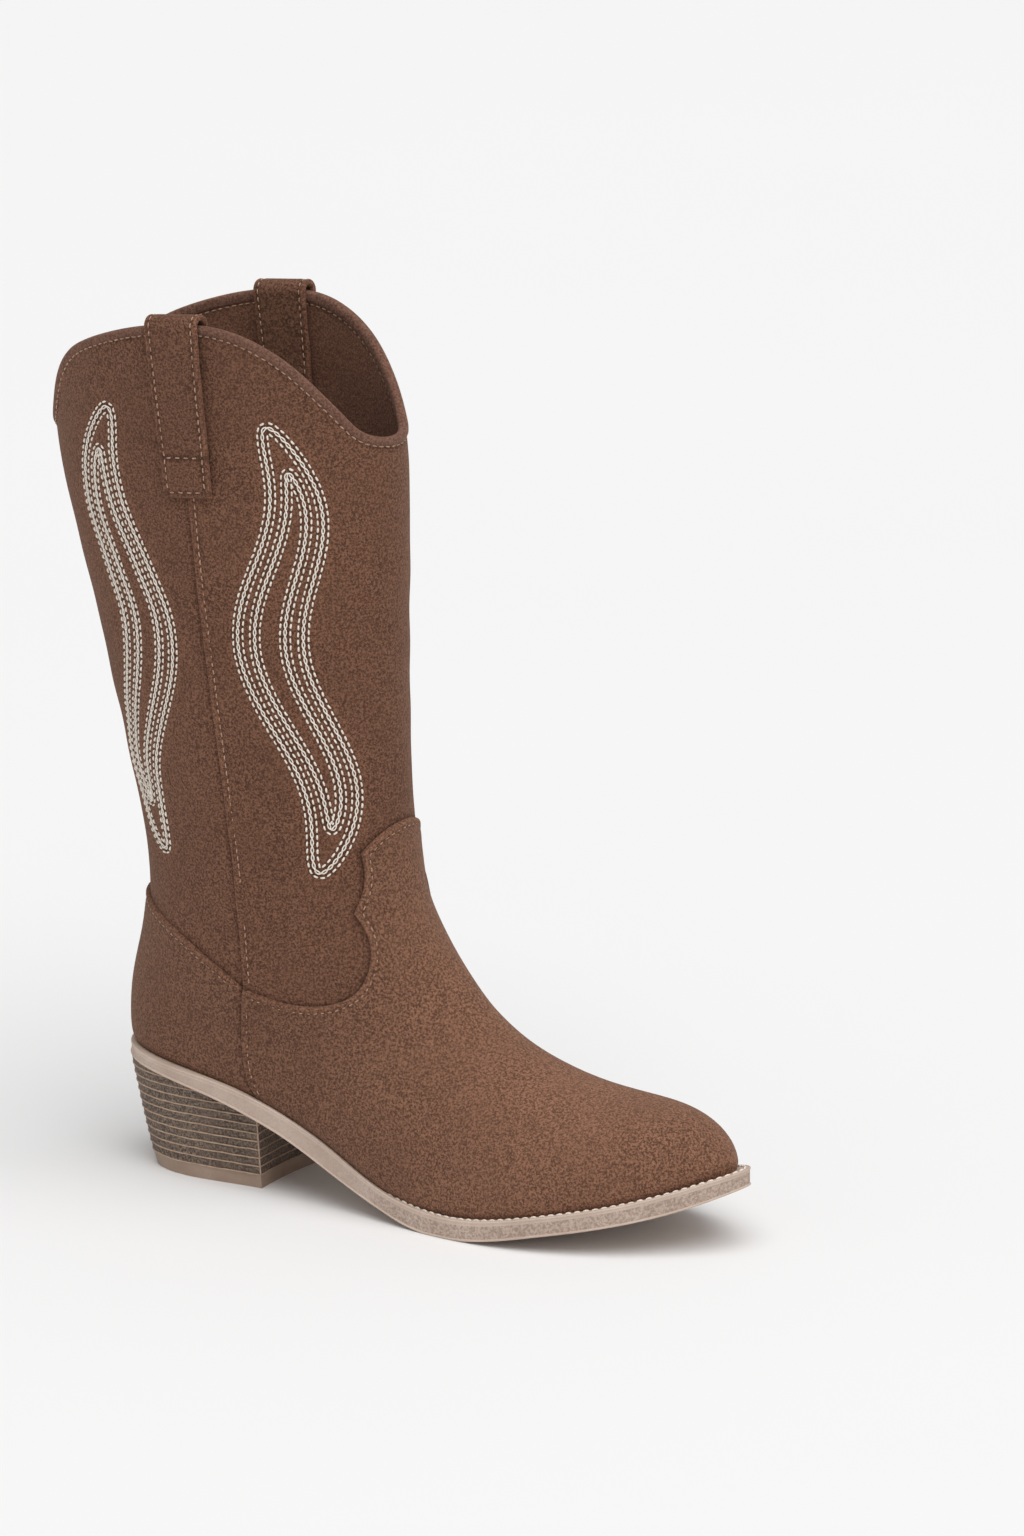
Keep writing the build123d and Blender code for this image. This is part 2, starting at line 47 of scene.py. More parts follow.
STATIONS = [
    ((-46.5, 342), (111.0, 368), 38.8, 2.0, 2.0, 0.50, 0),
    ((-38.5, 292), (112.4, 315), 38.8, 2.0, 2.0, 0.50, 0),
    ((-34.0, 268), (114.0, 287), 38.6, 2.0, 2.0, 0.50, 0),
    ((-25.5, 238), (114.8, 254), 38.3, 2.0, 2.0, 0.50, 0),
    ((-15.0, 202), (114.6, 214), 37.6, 2.0, 2.0, 0.50, 0),
    ((-5.8, 166), (115.0, 173), 36.2, 2.0, 2.0, 0.50, 0),
    ((1.8, 134), (117.6, 138), 34.6, 2.05, 2.0, 0.50, 0),
    ((4.6, 112), (122.4, 117.5), 33.6, 2.1, 2.0, 0.49, 0),
    ((2.4, 92), (129.0, 104.5), 33.0, 2.2, 2.0, 0.47, 0),
    ((-1.2, 74), (135.5, 95.5), 32.4, 2.3, 2.0, 0.45, 0),
    ((-2.6, 58), (141.5, 88.2), 31.9, 2.35, 2.0, 0.44, 0),
    ((-1.0, 45), (146.5, 82.8), 31.7, 2.4, 2.0, 0.44, 0),
    ((8.0, 33), (151.5, 78.0), 31.8, 2.4, 2.0, 0.45, 0),
    ((28.0, 22), (158.0, 72.8), 32.5, 2.4, 2.0, 0.46, 0),
    ((60.0, 9), (166.0, 67.5), 34.0, 2.4, 2.0, 0.47, -0.5),
    ((98.0, -6), (177.0, 61.8), 37.0, 2.4, 2.0, 0.45, -0.5),
    ((132.0, -14), (190.0, 56.8), 40.0, 2.4, 2.05, 0.42, 0.5),
    ((162.0, -16), (203.0, 53.4), 41.2, 2.4, 2.15, 0.40, 1.5),
    ((187.0, -13), (215.0, 51.4), 39.6, 2.4, 2.25, 0.39, 2.8),
    ((210.0, -8), (227.5, 50.0), 34.6, 2.4, 2.3, 0.39, 4.2),
    ((228.0, -1), (238.0, 47.6), 27.6, 2.3, 2.3, 0.40, 5.2),
    ((241.0, 6), (246.5, 44.0), 20.2, 2.2, 2.2, 0.42, 5.8),
    ((249.5, 12), (252.5, 39.8), 13.5, 2.1, 2.1, 0.45, 6.0),
    ((255.0, 17), (256.4, 35.3), 7.0, 2.0, 2.0, 0.48, 6.0),
    ((257.8, 21), (258.3, 31.0), 2.5, 2.0, 2.0, 0.50, 6.0),
]
TOE_TIP = (258.6, 6.0, 26.0)
COLUMNS = 240                # places round the boot
ROW_STEP = 1.05              # mean distance between rows

# ---- side-view lines, (x from the heel's back, z) --------------------------------------------
TOPLINE = [(-62, 282), (-41, 283.5), (-33, 290.5), (-28.3, 300), (-23.3, 310.5), (-15.4, 320),
           (-5, 326), (6, 330.2), (18, 333.8), (32, 336.6), (47, 338), (60, 336.9),
           (73.8, 332), (84.7, 325), (94.9, 315), (102.6, 305.6), (107.5, 299.6),
           (112.3, 296.8), (135, 296)]
VAMP_TONGUE = [(135, 151), (118.2, 149.6), (113.4, 145), (108.4, 137.7)]
VAMP_NOTCH = [(108.4, 137.7), (109.8, 130), (109.6, 122), (107.6, 114.7)]
VAMP_SCALLOP = [(107.6, 114.7), (111.6, 108.5), (114.2, 101.5), (114.2, 93), (110.5, 84.8),
                (101.7, 79.4), (89.6, 77.3), (77.4, 78.2), (63.6, 81.4)]
QUARTER_SEAM = [(63.6, 81.4), (63.2, 57), (65.6, 45), (70, 38), (76, 33), (84, -40)]
COUNTER_EDGE = [(63.6, 81.4), (46, 91.6), (29.4, 99.6), (10, 107), (-10, 115), (-30, 121)]
SIDE_SEAM = [(36, 360), (37.8, 334), (44.2, 271), (46.3, 250), (50.8, 213), (55.5, 174),
             (60.3, 132), (62.4, 106), (63.6, 81.4), (63.8, -40)]
SHAFT_HEM = [(-40, 112), (4, 103), (20, 94.5), (35, 85.5), (50, 77), (62, 71.5), (76, 69.5),
             (90, 68.5), (104, 70.5), (116, 77), (122, 88), (122.3, 99), (118.6, 108),
             (117, 118), (119, 129), (140, 140)]
SOLE_TOP = [(-8, 47.6), (0, 47.4), (23, 45.2), (44, 43), (63, 39.5), (82, 33.5), (105, 23.5),
            (116, 18), (131, 12), (147, 8.8), (161, 8), (175, 9), (187, 11), (201, 13.8),
            (221, 18), (240, 23), (256, 28.4), (272, 34)]
SOLE_REAR = [(-8, 42.6), (0, 42.3), (15, 41.2), (33, 38.6), (52, 34.8), (67.5, 30.2),
             (82.5, 24.6), (95, 18.8), (107, 13.2), (119, 8.3), (132, 3.9), (142, 1.2), (151, 0)]
SOLE_FRONT = [(164, 0), (175, 1.1), (187.5, 3.4), (199.5, 6), (212, 8.5), (231, 12.7),
              (248.5, 17.8), (260, 22.4), (272, 28)]

# ---- the sole's outline from below, (x, y), closed -------------------------------------------
SOLE_RING = [(-4.2, 0), (1, -16), (10, -25), (30, -31.8), (50, -33.4), (70, -33.6),
             (95, -34), (120, -36.8), (148, -41.6), (172, -43.6), (195, -41.4), (215, -35.4),
             (235, -25), (251, -12.5), (264.6, 6), (251, 23.5), (235, 34.2), (215, 41.2),
             (195, 44.8), (172, 45.4), (148, 42.8), (120, 37), (95, 33.6), (70, 33.6),
             (50, 33.4), (30, 31.8), (10, 25), (1, 16)]

# ---- waves stitched on the shaft: distance from the side seam, and heights --------------------
WAVE_MIDDLE = 36             # centre line, from the side seam
WAVE_SWAY = 8                # of the centre line, to each side
WAVE_TURNS = 1.5
WAVE_FOOT = 130
WAVE_HEAD = 302
WAVE_LOOPS = [(13, 0), (6, 17)]  # half width, and how far inside the foot and head

# ---- layers and stitches, mm -----------------------------------------------------------------
COVER = 1.4                  # vamp and counter over the shaft's face
LAP = 0.85                   # front shaft panel lying over the back one
PANEL_INSIDE = -1.2
LINING_OUTSIDE = -1.35
LINING_INSIDE = -2.3
SEAM_STITCH = dict(length=2.0, pitch=3.0, radius=0.3)
WAVE_STITCH = dict(length=1.9, pitch=2.75, radius=0.4)
WELT_STITCH = dict(length=2.6, pitch=3.4, radius=0.42)
WAVE_FLANK = 2.0           # running stitches each side of a wave's cord
STRAP_THICK = 2.3


# ---- lines -----------------------------------------------------------------------------------
def cubic(knots, values, where):
    """A natural cubic spline through `values`, read at `where`."""
    knots, values = np.asarray(knots, float), np.asarray(values, float)
    gaps = np.diff(knots)
    count = len(knots)
    system = np.zeros((count, count))
    right = np.zeros(values.shape)
    system[0, 0] = system[-1, -1] = 1
    for i in range(1, count - 1):
        system[i, i - 1:i + 2] = gaps[i - 1], 2 * (gaps[i - 1] + gaps[i]), gaps[i]
        right[i] = 6 * ((values[i + 1] - values[i]) / gaps[i]
                        - (values[i] - values[i - 1]) / gaps[i - 1])
    bend = np.tensordot(np.linalg.inv(system), right, axes=(1, 0))
    cell = np.clip(np.searchsorted(knots, where) - 1, 0, count - 2)
    spare = (len(where),) + (1,) * (values.ndim - 1)
    gap = gaps[cell].reshape(spare)
    left = (knots[cell + 1] - where).reshape(spare) / gap
    right_share = 1 - left
    curve = (left ** 3 - left) * bend[cell] + (right_share ** 3 - right_share) * bend[cell + 1]
    return left * values[cell] + right_share * values[cell + 1] + curve * gap ** 2 / 6


def smooth_line(points, spacing=0.6, closed=False):
    """A dense line through given points."""
    points = np.array(points, float)
    if closed:
        wrap = 6
        points = np.concatenate([points[-wrap:], points, points[:wrap + 1]])
    knots = np.concatenate([[0], np.cumsum(np.linalg.norm(np.diff(points, axis=0), axis=1))])
    first, last = (knots[wrap], knots[-wrap - 1]) if closed else (0, knots[-1])
    where = np.linspace(first, last, max(3, int((last - first) / spacing)))
    return cubic(knots, points, where[:-1] if closed else where)


def side(points, spacing=1.2):
    """A side-view line in the row's frame."""
    return smooth_line(points, spacing) - (HEEL_TO_ORIGIN, 0)


def height_at(line, x):
    """Height of a side-view line that only runs forwards."""
    return np.interp(x, line[:, 0], line[:, 1])


topline = side(TOPLINE)
sole_top = side(SOLE_TOP)
side_seam = side(SIDE_SEAM)


def distance_inside(places, ring):
    """Distance of (x, z) places to a closed ring, positive inside it."""
    nearest = np.full(len(places), 1e9)
    odd = np.zeros(len(places), bool)
    for start, end in zip(ring, np.roll(ring, -1, axis=0)):
        run = end - start
        length2 = run @ run
        if length2 < 1e-12:
            continue
        offset = places - start
        share = np.clip(offset @ run / length2, 0, 1)
        gap = offset - share[:, None] * run
        nearest = np.minimum(nearest, (gap ** 2).sum(1))
        if start[1] != end[1]:
            crosses = (start[1] > places[:, 1]) != (end[1] > places[:, 1])
            at_x = start[0] + (places[:, 1] - start[1]) * run[0] / run[1]
            odd ^= crosses & (places[:, 0] < at_x)
    return np.where(odd, 1, -1) * np.sqrt(nearest)


# ---- the boot's skin -------------------------------------------------------------------------
def section(station):
    """One last section, from its back point round the inner side."""
    back, front, half, back_power, front_power, widest, swing = station
    angle = np.arange(COLUMNS) * 2 * math.pi / COLUMNS
    power = np.where(np.cos(angle) > 0, back_power, front_power)
    along = np.sign(np.cos(angle)) * np.abs(np.cos(angle)) ** (2 / power)
    across = np.sign(np.sin(angle)) * np.abs(np.sin(angle)) ** (2 / power)
    share = widest - np.where(np.cos(angle) > 0, widest, 1 - widest) * along
    x = back[0] + share * (front[0] - back[0]) - HEEL_TO_ORIGIN
    z = back[1] + share * (front[1] - back[1])
    return np.stack([x, swing + half * across, z], 1)


def skin_grid():
    """Points and outward normals of the shaft leather's face, in rows down to the toe."""
    sections = np.array([section(station) for station in STATIONS])
    steps = np.linalg.norm(np.diff(sections, axis=0), axis=2).mean(1)
    knots = np.concatenate([[0], np.cumsum(steps)])
    where = np.linspace(0, knots[-1], int(knots[-1] / ROW_STEP))
    points = cubic(knots, sections, where)
    tip = np.array(TOE_TIP) - (HEEL_TO_ORIGIN, 0, 0)
    points = np.concatenate([points, np.broadcast_to(tip, (1, COLUMNS, 3))])
    down = np.gradient(points, axis=0)
    wrapped = np.concatenate([points[:, -1:], points, points[:, :1]], axis=1)
    around = np.gradient(wrapped, axis=1)[:, 1:-1]
    normals = np.cross(around, down)
    if ((points - points.mean(1, keepdims=True)) * normals).sum() < 0:
        normals = -normals
    normals[-1] = (1, 0, 0)
    return points, normals / np.linalg.norm(normals, axis=2, keepdims=True)


SKIN, NORMALS = skin_grid()
ROWS = len(SKIN)


def read(table, places):
    """A grid table at (row, column) places between its points."""
    row = np.clip(places[:, 0], 0, ROWS - 1.001)
    column = places[:, 1] % COLUMNS
    low, left = row.astype(int), column.astype(int)
    up, over = row - low, column - left
    right = (left + 1) % COLUMNS
    spare = (len(places),) + (1,) * (table.ndim - 2)
    up, over = up.reshape(spare), over.reshape(spare)
    return ((1 - up) * ((1 - over) * table[low, left] + over * table[low, right])
            + up * ((1 - over) * table[low + 1, left] + over * table[low + 1, right]))


def unit(vectors):
    return vectors / np.maximum(np.linalg.norm(vectors, axis=-1, keepdims=True), 1e-9)


def inside_region(ring):
    """Distance inside a side-view ring at every point of the grid."""
    flat = SKIN[:, :, [0, 2]].reshape(-1, 2)
    return distance_inside(flat, ring).reshape(ROWS, COLUMNS)


def ring_of(*lines):
    """A side-view ring from given lines, joined in order."""
    return np.concatenate([side(line) if len(line) > 2 else
                           np.array(line, float) - (HEEL_TO_ORIGIN, 0) for line in lines])


BELOW_TOPLINE = inside_region(ring_of(TOPLINE, [(330, 296), (330, -60)], [(-90, -60), (-90, 282)]))
AHEAD_OF_SEAM = inside_region(ring_of(SIDE_SEAM, [(330, -60), (330, 380)]))
ABOVE_HEM = inside_region(ring_of(SHAFT_HEM, [(160, 400), (-90, 400)], [(-90, 112), (-60, 112)]))
VAMP_REGION = inside_region(ring_of(VAMP_TONGUE, VAMP_NOTCH, VAMP_SCALLOP, QUARTER_SEAM,
                                    [(330, -60), (330, 151)]))
COUNTER_REGION = inside_region(ring_of(QUARTER_SEAM, [(-60, -60), (-60, 121)],
                                       COUNTER_EDGE[::-1]))
ABOVE_SOLE = SKIN[:, :, 2] - height_at(sole_top, SKIN[:, :, 0])


sole_ring = smooth_line(SOLE_RING, 0.8, closed=True) - (HEEL_TO_ORIGIN, 0)
ring_run = unit(np.roll(sole_ring, -1, axis=0) - np.roll(sole_ring, 1, axis=0))
ring_out = np.stack([ring_run[:, 1], -ring_run[:, 0]], 1)
if (ring_out * (sole_ring - sole_ring.mean(0))).sum() < 0:
    ring_out = -ring_out
ring_tree = kdtree.KDTree(len(sole_ring))
for number, (x, y) in enumerate(sole_ring):
    ring_tree.insert((x, y, 0), number)
ring_tree.balance()


def seated(points, margin):
    """Draw a skin's foot in so that it stands `margin` inside the sole's outline."""
    points = points.copy()
    over = points[:, 2] - height_at(sole_top, points[:, 0])
    low = np.flatnonzero(over < 14)
    nearest = np.array([ring_tree.find((x, y, 0))[1] for x, y in points[low, :2]])
    outward = ring_out[nearest]
    beyond = ((points[low, :2] - sole_ring[nearest]) * outward).sum(1)
    excess = beyond + margin - 0.5 * np.clip(over[low], 0, 14)
    push = 0.6 * np.log1p(np.exp(np.clip(excess / 0.6, -20, 20)))
    points[low, :2] -= outward * push[:, None]
    return points


# ---- cutting patches out of the skin ---------------------------------------------------------
def grid_faces(step):
    """Triangles over every `step`-th row and column."""
    rows = np.arange(0, ROWS - step, step)[:, None]
    columns = np.arange(0, COLUMNS, step)[None, :]
    here = rows * COLUMNS + columns
    beside = rows * COLUMNS + (columns + step) % COLUMNS
    below, across = here + step * COLUMNS, beside + step * COLUMNS
    return np.concatenate([np.stack([here, across, beside], -1).reshape(-1, 3),
                           np.stack([here, below, across], -1).reshape(-1, 3)])


def used_only(places, faces, values):
    used, faces = np.unique(faces, return_inverse=True)
    return places[used], faces.reshape(-1, 3), values[used]


def cut(places, faces, values, level, drop):
    """Cut triangles along values == level; with `drop`, throw the lower side away."""
    height = values - level
    high = height >= 0
    count = high[faces].sum(1)
    mixed = (count == 1) | (count == 2)
    whole = faces[(count == 3) if drop else ~mixed]
    corner = faces[mixed]
    odd_is_high = count[mixed] == 1
    turn = np.argmax(high[corner] == odd_is_high[:, None], axis=1)
    order = (turn[:, None] + np.arange(3)) % 3
    corner = np.take_along_axis(corner, order, axis=1)
    edges = np.sort(np.concatenate([corner[:, [0, 1]], corner[:, [0, 2]]]), axis=1)
    edges, which = np.unique(edges, axis=0, return_inverse=True)
    which = which.reshape(-1)
    first, second = height[edges[:, 0]], height[edges[:, 1]]
    share = first / (first - second)
    start, end = places[edges[:, 0]], places[edges[:, 1]].copy()
    end[:, 1] -= np.round((end[:, 1] - start[:, 1]) / COLUMNS) * COLUMNS
    number = len(places) + np.arange(len(edges))
    number = np.where(np.abs(first) < 1e-9, edges[:, 0], number)
    number = np.where(np.abs(second) < 1e-9, edges[:, 1], number)
    places = np.concatenate([places, start + share[:, None] * (end - start)])
    values = np.concatenate([values, np.full(len(edges), float(level))])
    half = len(corner)
    near, far = number[which[:half]], number[which[half:]]
    tip = np.stack([corner[:, 0], near, far], 1)
    base = np.concatenate([np.stack([near, corner[:, 1], corner[:, 2]], 1),
                           np.stack([near, corner[:, 2], far], 1)])
    if drop:
        tip, base = tip[odd_is_high], base[np.tile(~odd_is_high, 2)]
    faces = np.concatenate([whole, tip, base])
    distinct = ((faces[:, 0] != faces[:, 1]) & (faces[:, 1] != faces[:, 2])
                & (faces[:, 0] != faces[:, 2]))
    return used_only(places, faces[distinct], values)


def patch(field, step=1):
    """The part of the skin where `field` is positive, with its edge exactly on zero."""
    rows, columns = np.meshgrid(np.arange(ROWS, dtype=float), np.arange(COLUMNS, dtype=float),
                                indexing="ij")
    field = field.copy()
    field[-1] = field[-2]
    down = np.gradient(field, axis=0)
    wrapped = np.concatenate([field[:, -1:], field, field[:, :1]], axis=1)
    around = np.gradient(wrapped, axis=1)[:, 1:-1]
    steep = np.maximum(down ** 2 + around ** 2, 0.05)
    move_down, move_around = -field * down / steep, -field * around / steep
    near = np.hypot(move_down, move_around) < 0.32 * step
    near[0] = near[-2:] = False
    rows, columns = rows + near * move_down, columns + near * move_around
    places = np.stack([rows.ravel(), columns.ravel()], 1)
    values = np.where(near, 0, field).ravel()
    return cut(places, grid_faces(step), values, 0.0, True)


def border(faces):
    """Directed edges that belong to one triangle only."""
    edges = np.concatenate([faces[:, [0, 1]], faces[:, [1, 2]], faces[:, [2, 0]]])
    _, which, counts = np.unique(np.sort(edges, axis=1), axis=0, return_inverse=True,
                                 return_counts=True)
    return edges[counts[which.reshape(-1)] == 1]


def distance_to(points, targets):
    """Distance of every point to the nearest target point."""
    tree = kdtree.KDTree(len(targets))
    for number, target in enumerate(targets):
        tree.insert(target, number)
    tree.balance()
    return np.array([tree.find(point)[2] for point in points])


def edge_distance(places, faces, counts):
    """Distance on the skin to the patch's border, where `counts` holds."""
    points = read(SKIN, places)
    edges = border(faces)
    edges = edges[counts(points[edges].mean(1))]
    shares = np.linspace(0, 1, 6)[:-1]
    start, end = points[edges[:, 0]], points[edges[:, 1]]
    targets = np.concatenate([start + share * (end - start) for share in shares])
    return distance_to(points, targets)


def with_rings(places, faces, distance, levels):
    """Extra vertices along lines parallel to the edge, so its fold can be rounded."""
    for level in levels:
        near = np.abs(distance - level) < 0.22
        distance = np.where(near, level, distance)
        places, faces, distance = cut(places, faces, distance, level, False)
    return places, faces, distance


def parallel_lines(places, faces, distance, level):
    """Lines of places where the distance to the edge is `level`."""
    height = distance - level
    height = np.where(np.abs(height) < 1e-6, 1e-6, height)
    high = height > 0
    count = high[faces].sum(1)
    corner = faces[(count == 1) | (count == 2)]
    edges = np.sort(np.concatenate([corner[:, [0, 1]], corner[:, [1, 2]], corner[:, [2, 0]]]),
                    axis=1)
    split = high[edges[:, 0]] != high[edges[:, 1]]
    numbers = np.full(len(edges), -1)
    crossing, which = np.unique(edges[split], axis=0, return_inverse=True)
    numbers[split] = which.reshape(-1)
    share = height[crossing[:, 0]] / (height[crossing[:, 0]] - height[crossing[:, 1]])
    start, end = places[crossing[:, 0]], places[crossing[:, 1]].copy()
    end[:, 1] -= np.round((end[:, 1] - start[:, 1]) / COLUMNS) * COLUMNS
    found = start + share[:, None] * (end - start)
    links = {}
    for three in numbers.reshape(3, -1).T:
        a, b = [int(number) for number in three if number >= 0]
        links.setdefault(a, []).append(b)
        links.setdefault(b, []).append(a)
    lines = []
    ends = [number for number, others in links.items() if len(others) == 1]
    for first in ends + list(links):
        if first not in links:
            continue
        chain = [first]
        while True:
            others = [number for number in links.pop(chain[-1]) if number in links]
            if not others:
                break
            chain.append(others[0])
        if len(chain) > 4:
            line = found[chain]
            line[:, 1] = np.unwrap(line[:, 1], period=COLUMNS)
            lines.append(line)
    return lines


# ---- meshes ----------------------------------------------------------------------------------
def build_mesh(name, points, faces, crease=35, **attributes):
    """A smooth-shaded piece from millimetre points, riding on the boot."""
    mesh = bpy.data.meshes.new(name)
    mesh.from_pydata((np.asarray(points) / 1000).tolist(), [], np.asarray(faces).tolist())
    for attribute, values in attributes.items():
        layer = mesh.attributes.new(attribute, "FLOAT", "POINT")
        layer.data.foreach_set("value", np.asarray(values, np.float32))
    mesh.polygons.foreach_set("use_smooth", [True] * len(mesh.polygons))
    mesh.set_sharp_from_angle(angle=math.radians(crease))
    mesh.update()
    piece = bpy.data.objects.new(name, mesh)
    bpy.context.scene.collection.objects.link(piece)
    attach(piece, "root")
    return piece


def close_patch(name, places, faces, outside, inside, margins=None, **attributes):
    """A closed skin between two offsets from the shaft's face.

    `margins` are how far its outer and inner side stand in from the sole's outline.
    """
    points, normals = read(SKIN, places), unit(read(NORMALS, places))
    outer = points + normals * np.reshape(outside, (-1, 1))
    inner = points + normals * np.reshape(np.broadcast_to(inside, len(points)), (-1, 1))
    if margins:
        outer, inner = seated(outer, margins[0]), seated(inner, margins[1])
    count = len(points)
    a, b, c = outer[faces[:, 0]], outer[faces[:, 1]], outer[faces[:, 2]]
    facing = (np.cross(b - a, c - a) * normals[faces[:, 0]]).sum()
    if facing < 0:
        faces = faces[:, ::-1]
    edges = border(faces)
    walls = np.concatenate([np.stack([edges[:, 1], edges[:, 0], edges[:, 0] + count], 1),
                            np.stack([edges[:, 1], edges[:, 0] + count, edges[:, 1] + count], 1)])
    faces = np.concatenate([faces, faces[:, ::-1] + count, walls])
    doubled = {key: np.tile(values, 2) for key, values in attributes.items()}
    return build_mesh(name, np.concatenate([outer, inner]), faces, crease=50, **doubled)


def tubes(paths, radius, sides=6, closed=False):
    """Points and faces of round tubes; a path is (points, normals)."""
    all_points, all_faces, total = [], [], 0
    turn = np.arange(sides) * 2 * math.pi / sides
    for points, normals in paths:
        if closed:
            ahead, behind = np.roll(points, -1, axis=0), np.roll(points, 1, axis=0)
            tangent = unit(ahead - behind)
        else:
            tangent = unit(np.gradient(points, axis=0))
        across = unit(np.cross(normals, tangent))
        up = np.cross(tangent, across)
        ring = (across[:, None] * np.cos(turn)[:, None] + up[:, None] * np.sin(turn)[:, None])
        rings = points[:, None] + ring * np.reshape(radius, (-1, 1, 1))
        count = len(points)
        here = np.arange(count if closed else count - 1)[:, None] * sides + np.arange(sides)
        beside = here - np.arange(sides) + (np.arange(sides) + 1) % sides
        wrap = count * sides
        quads = np.stack([here, beside, (beside + sides) % wrap, (here + sides) % wrap], -1)
        faces = [list(face) for face in quads.reshape(-1, 4) + total]
        if not closed:
            faces.append([total + number for number in range(sides)][::-1])
            faces.append([total + wrap - sides + number for number in range(sides)])
        all_points.append(rings.reshape(-1, 3))
        all_faces.extend(faces)
        total += wrap
    return np.concatenate(all_points), all_faces


def joined_mesh(name, points, faces):
    """build_mesh for faces of mixed sizes."""
    mesh = bpy.data.meshes.new(name)
    mesh.from_pydata((points / 1000).tolist(), [], [list(map(int, face)) for face in faces])
    mesh.polygons.foreach_set("use_smooth", [True] * len(mesh.polygons))
    mesh.update()
    piece = bpy.data.objects.new(name, mesh)
    bpy.context.scene.collection.objects.link(piece)
    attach(piece, "root")
    return piece


def stitched(points, normals, length, pitch, radius, start=0.5):
    """Start, end and normal of each stitch along a line."""
    reach = np.concatenate([[0], np.cumsum(np.linalg.norm(np.diff(points, axis=0), axis=1))])
    count = int((reach[-1] - length) / pitch)
    if count < 1:
        return np.zeros((0, 3)), np.zeros((0, 3)), np.zeros((0, 3)), radius
    begin = start * pitch / 2 + np.arange(count) * reach[-1] / (count + 0.3)

    def at(table, where):
        return np.stack([np.interp(where, reach, table[:, axis]) for axis in range(3)], 1)

    return at(points, begin), at(points, begin + length), unit(at(normals, begin + length / 2)), radius


def stitch_mesh(name, rows, sink=0.22, seed=3):
    """Short arched threads that dive into the leather at both ends."""
    shares = np.array([0.0, 0.16, 0.5, 0.84, 1.0])
    swell = np.array([0.45, 0.92, 1.0, 0.92, 0.45])
    lift = np.array([-sink, 0.12, 0.3, 0.12, -sink])
    sides = 6
    turn = np.arange(sides) * 2 * math.pi / sides
    random = np.random.default_rng(seed)
    parts = []
    for begin, end, normal, radius in rows:
        if not len(begin):
            continue
        tangent = unit(end - begin)
        across = unit(np.cross(normal, tangent))
        skew = random.normal(0, 0.07, len(begin))[:, None] * across
        begin, end = begin - skew, end + skew
        size = radius * (1 + random.normal(0, 0.06, len(begin)))
        centre = begin[:, None] + shares[:, None] * (end - begin)[:, None]
        centre = centre + lift[:, None] * size[:, None, None] / 0.3 * normal[:, None] * 0.5
        ring = (across[:, None] * np.cos(turn)[:, None] + normal[:, None] * np.sin(turn)[:, None])
        reach = size[:, None, None, None] * swell[:, None, None]
        parts.append((centre[:, :, None] + ring[:, None] * reach).reshape(-1, 3))
    points = np.concatenate(parts)
    rings = len(shares)
    here = np.arange(rings - 1)[:, None] * sides + np.arange(sides)
    beside = here - np.arange(sides) + (np.arange(sides) + 1) % sides
    quads = np.stack([here, beside, beside + sides, here + sides], -1).reshape(-1, 4)
    caps = np.array([[3, 2, 1, 0], [5, 4, 3, 0]])
    caps = np.concatenate([caps, caps[:, ::-1] + (rings - 1) * sides])
    pattern = np.concatenate([quads, caps])
    count = len(points) // (rings * sides)
    faces = (pattern[None] + np.arange(count)[:, None, None] * rings * sides).reshape(-1, 4)
    return build_mesh(name, points, faces, crease=80)


def lines_on(lines, lift, keep):
    """(points, normals) of place lines at a lift above the skin, where `keep` holds."""
    runs = []
    for line in lines:
        points, normals = read(SKIN, line), unit(read(NORMALS, line))
        good = keep(points)
        breaks = np.flatnonzero(np.diff(np.concatenate([[0], good.astype(int), [0]])))
        for first, last in zip(breaks[::2], breaks[1::2]):
            if last - first > 6:
                run = points[first:last] + normals[first:last] * lift
                soft = run.copy()
                soft[1:-1] = (run[:-2] + 2 * run[1:-1] + run[2:]) / 4
                runs.append((soft, normals[first:last]))
    return runs


# ---- relief of the leather -------------------------------------------------------------------
def bump(distance, centre, width):
    return np.exp(-((distance - centre) / width) ** 2)


def ease(distance, start, end):
    share = np.clip((distance - start) / (end - start), 0, 1)
    return share * share * (3 - 2 * share)


def wander(points, size, seed, waves=14):
    """Slow uneven rise and fall of hand-lasted leather, about -1 to 1."""
    random = np.random.default_rng(seed)
    total = np.zeros(len(points))
    for _ in range(waves):
        direction = unit(random.normal(size=3))
        length = size * random.uniform(0.7, 1.6)
        total += np.sin(points @ direction * 2 * math.pi / length + random.uniform(0, 7))
    return total / math.sqrt(waves / 2) * 0.7


def folded(distance, thick, stitch, roll=0.3):
    """A turned edge: rounded, a little fuller than the sheet, and drawn in at the stitches."""
    rim = np.sqrt(np.clip(1 - (1 - np.clip(distance / 1.1, 0, 1)) ** 2, 0, 1))
    return thick * (0.25 + 0.75 * rim) + roll * bump(distance, 1.2, 1.0) * rim \
        - 0.34 * bump(distance, stitch, 0.7)


# ---- the waves' places on the shaft --------------------------------------------------------
def wave_table(direction):
    """Row and column of (distance from the side seam, height), on one side of the shaft."""
    heights = np.arange(118.0, 314.0, 2.0)
    columns = np.arange(COLUMNS // 2 + 1) * direction
    rows, reach = [], []
    for height in heights:
        row = np.array([np.interp(-height, -SKIN[:ROWS // 2, column % COLUMNS, 2],
                                  np.arange(ROWS // 2)) for column in columns])
        points = read(SKIN, np.stack([row, columns], 1))
        length = np.concatenate([[0], np.cumsum(np.linalg.norm(np.diff(points, axis=0), axis=1))])
        seam_x = np.interp(-height, -side_seam[:, 1], side_seam[:, 0])
        rows.append(row)
        reach.append(length - np.interp(seam_x, points[:, 0], length))
    return heights, columns, np.array(rows), np.array(reach)


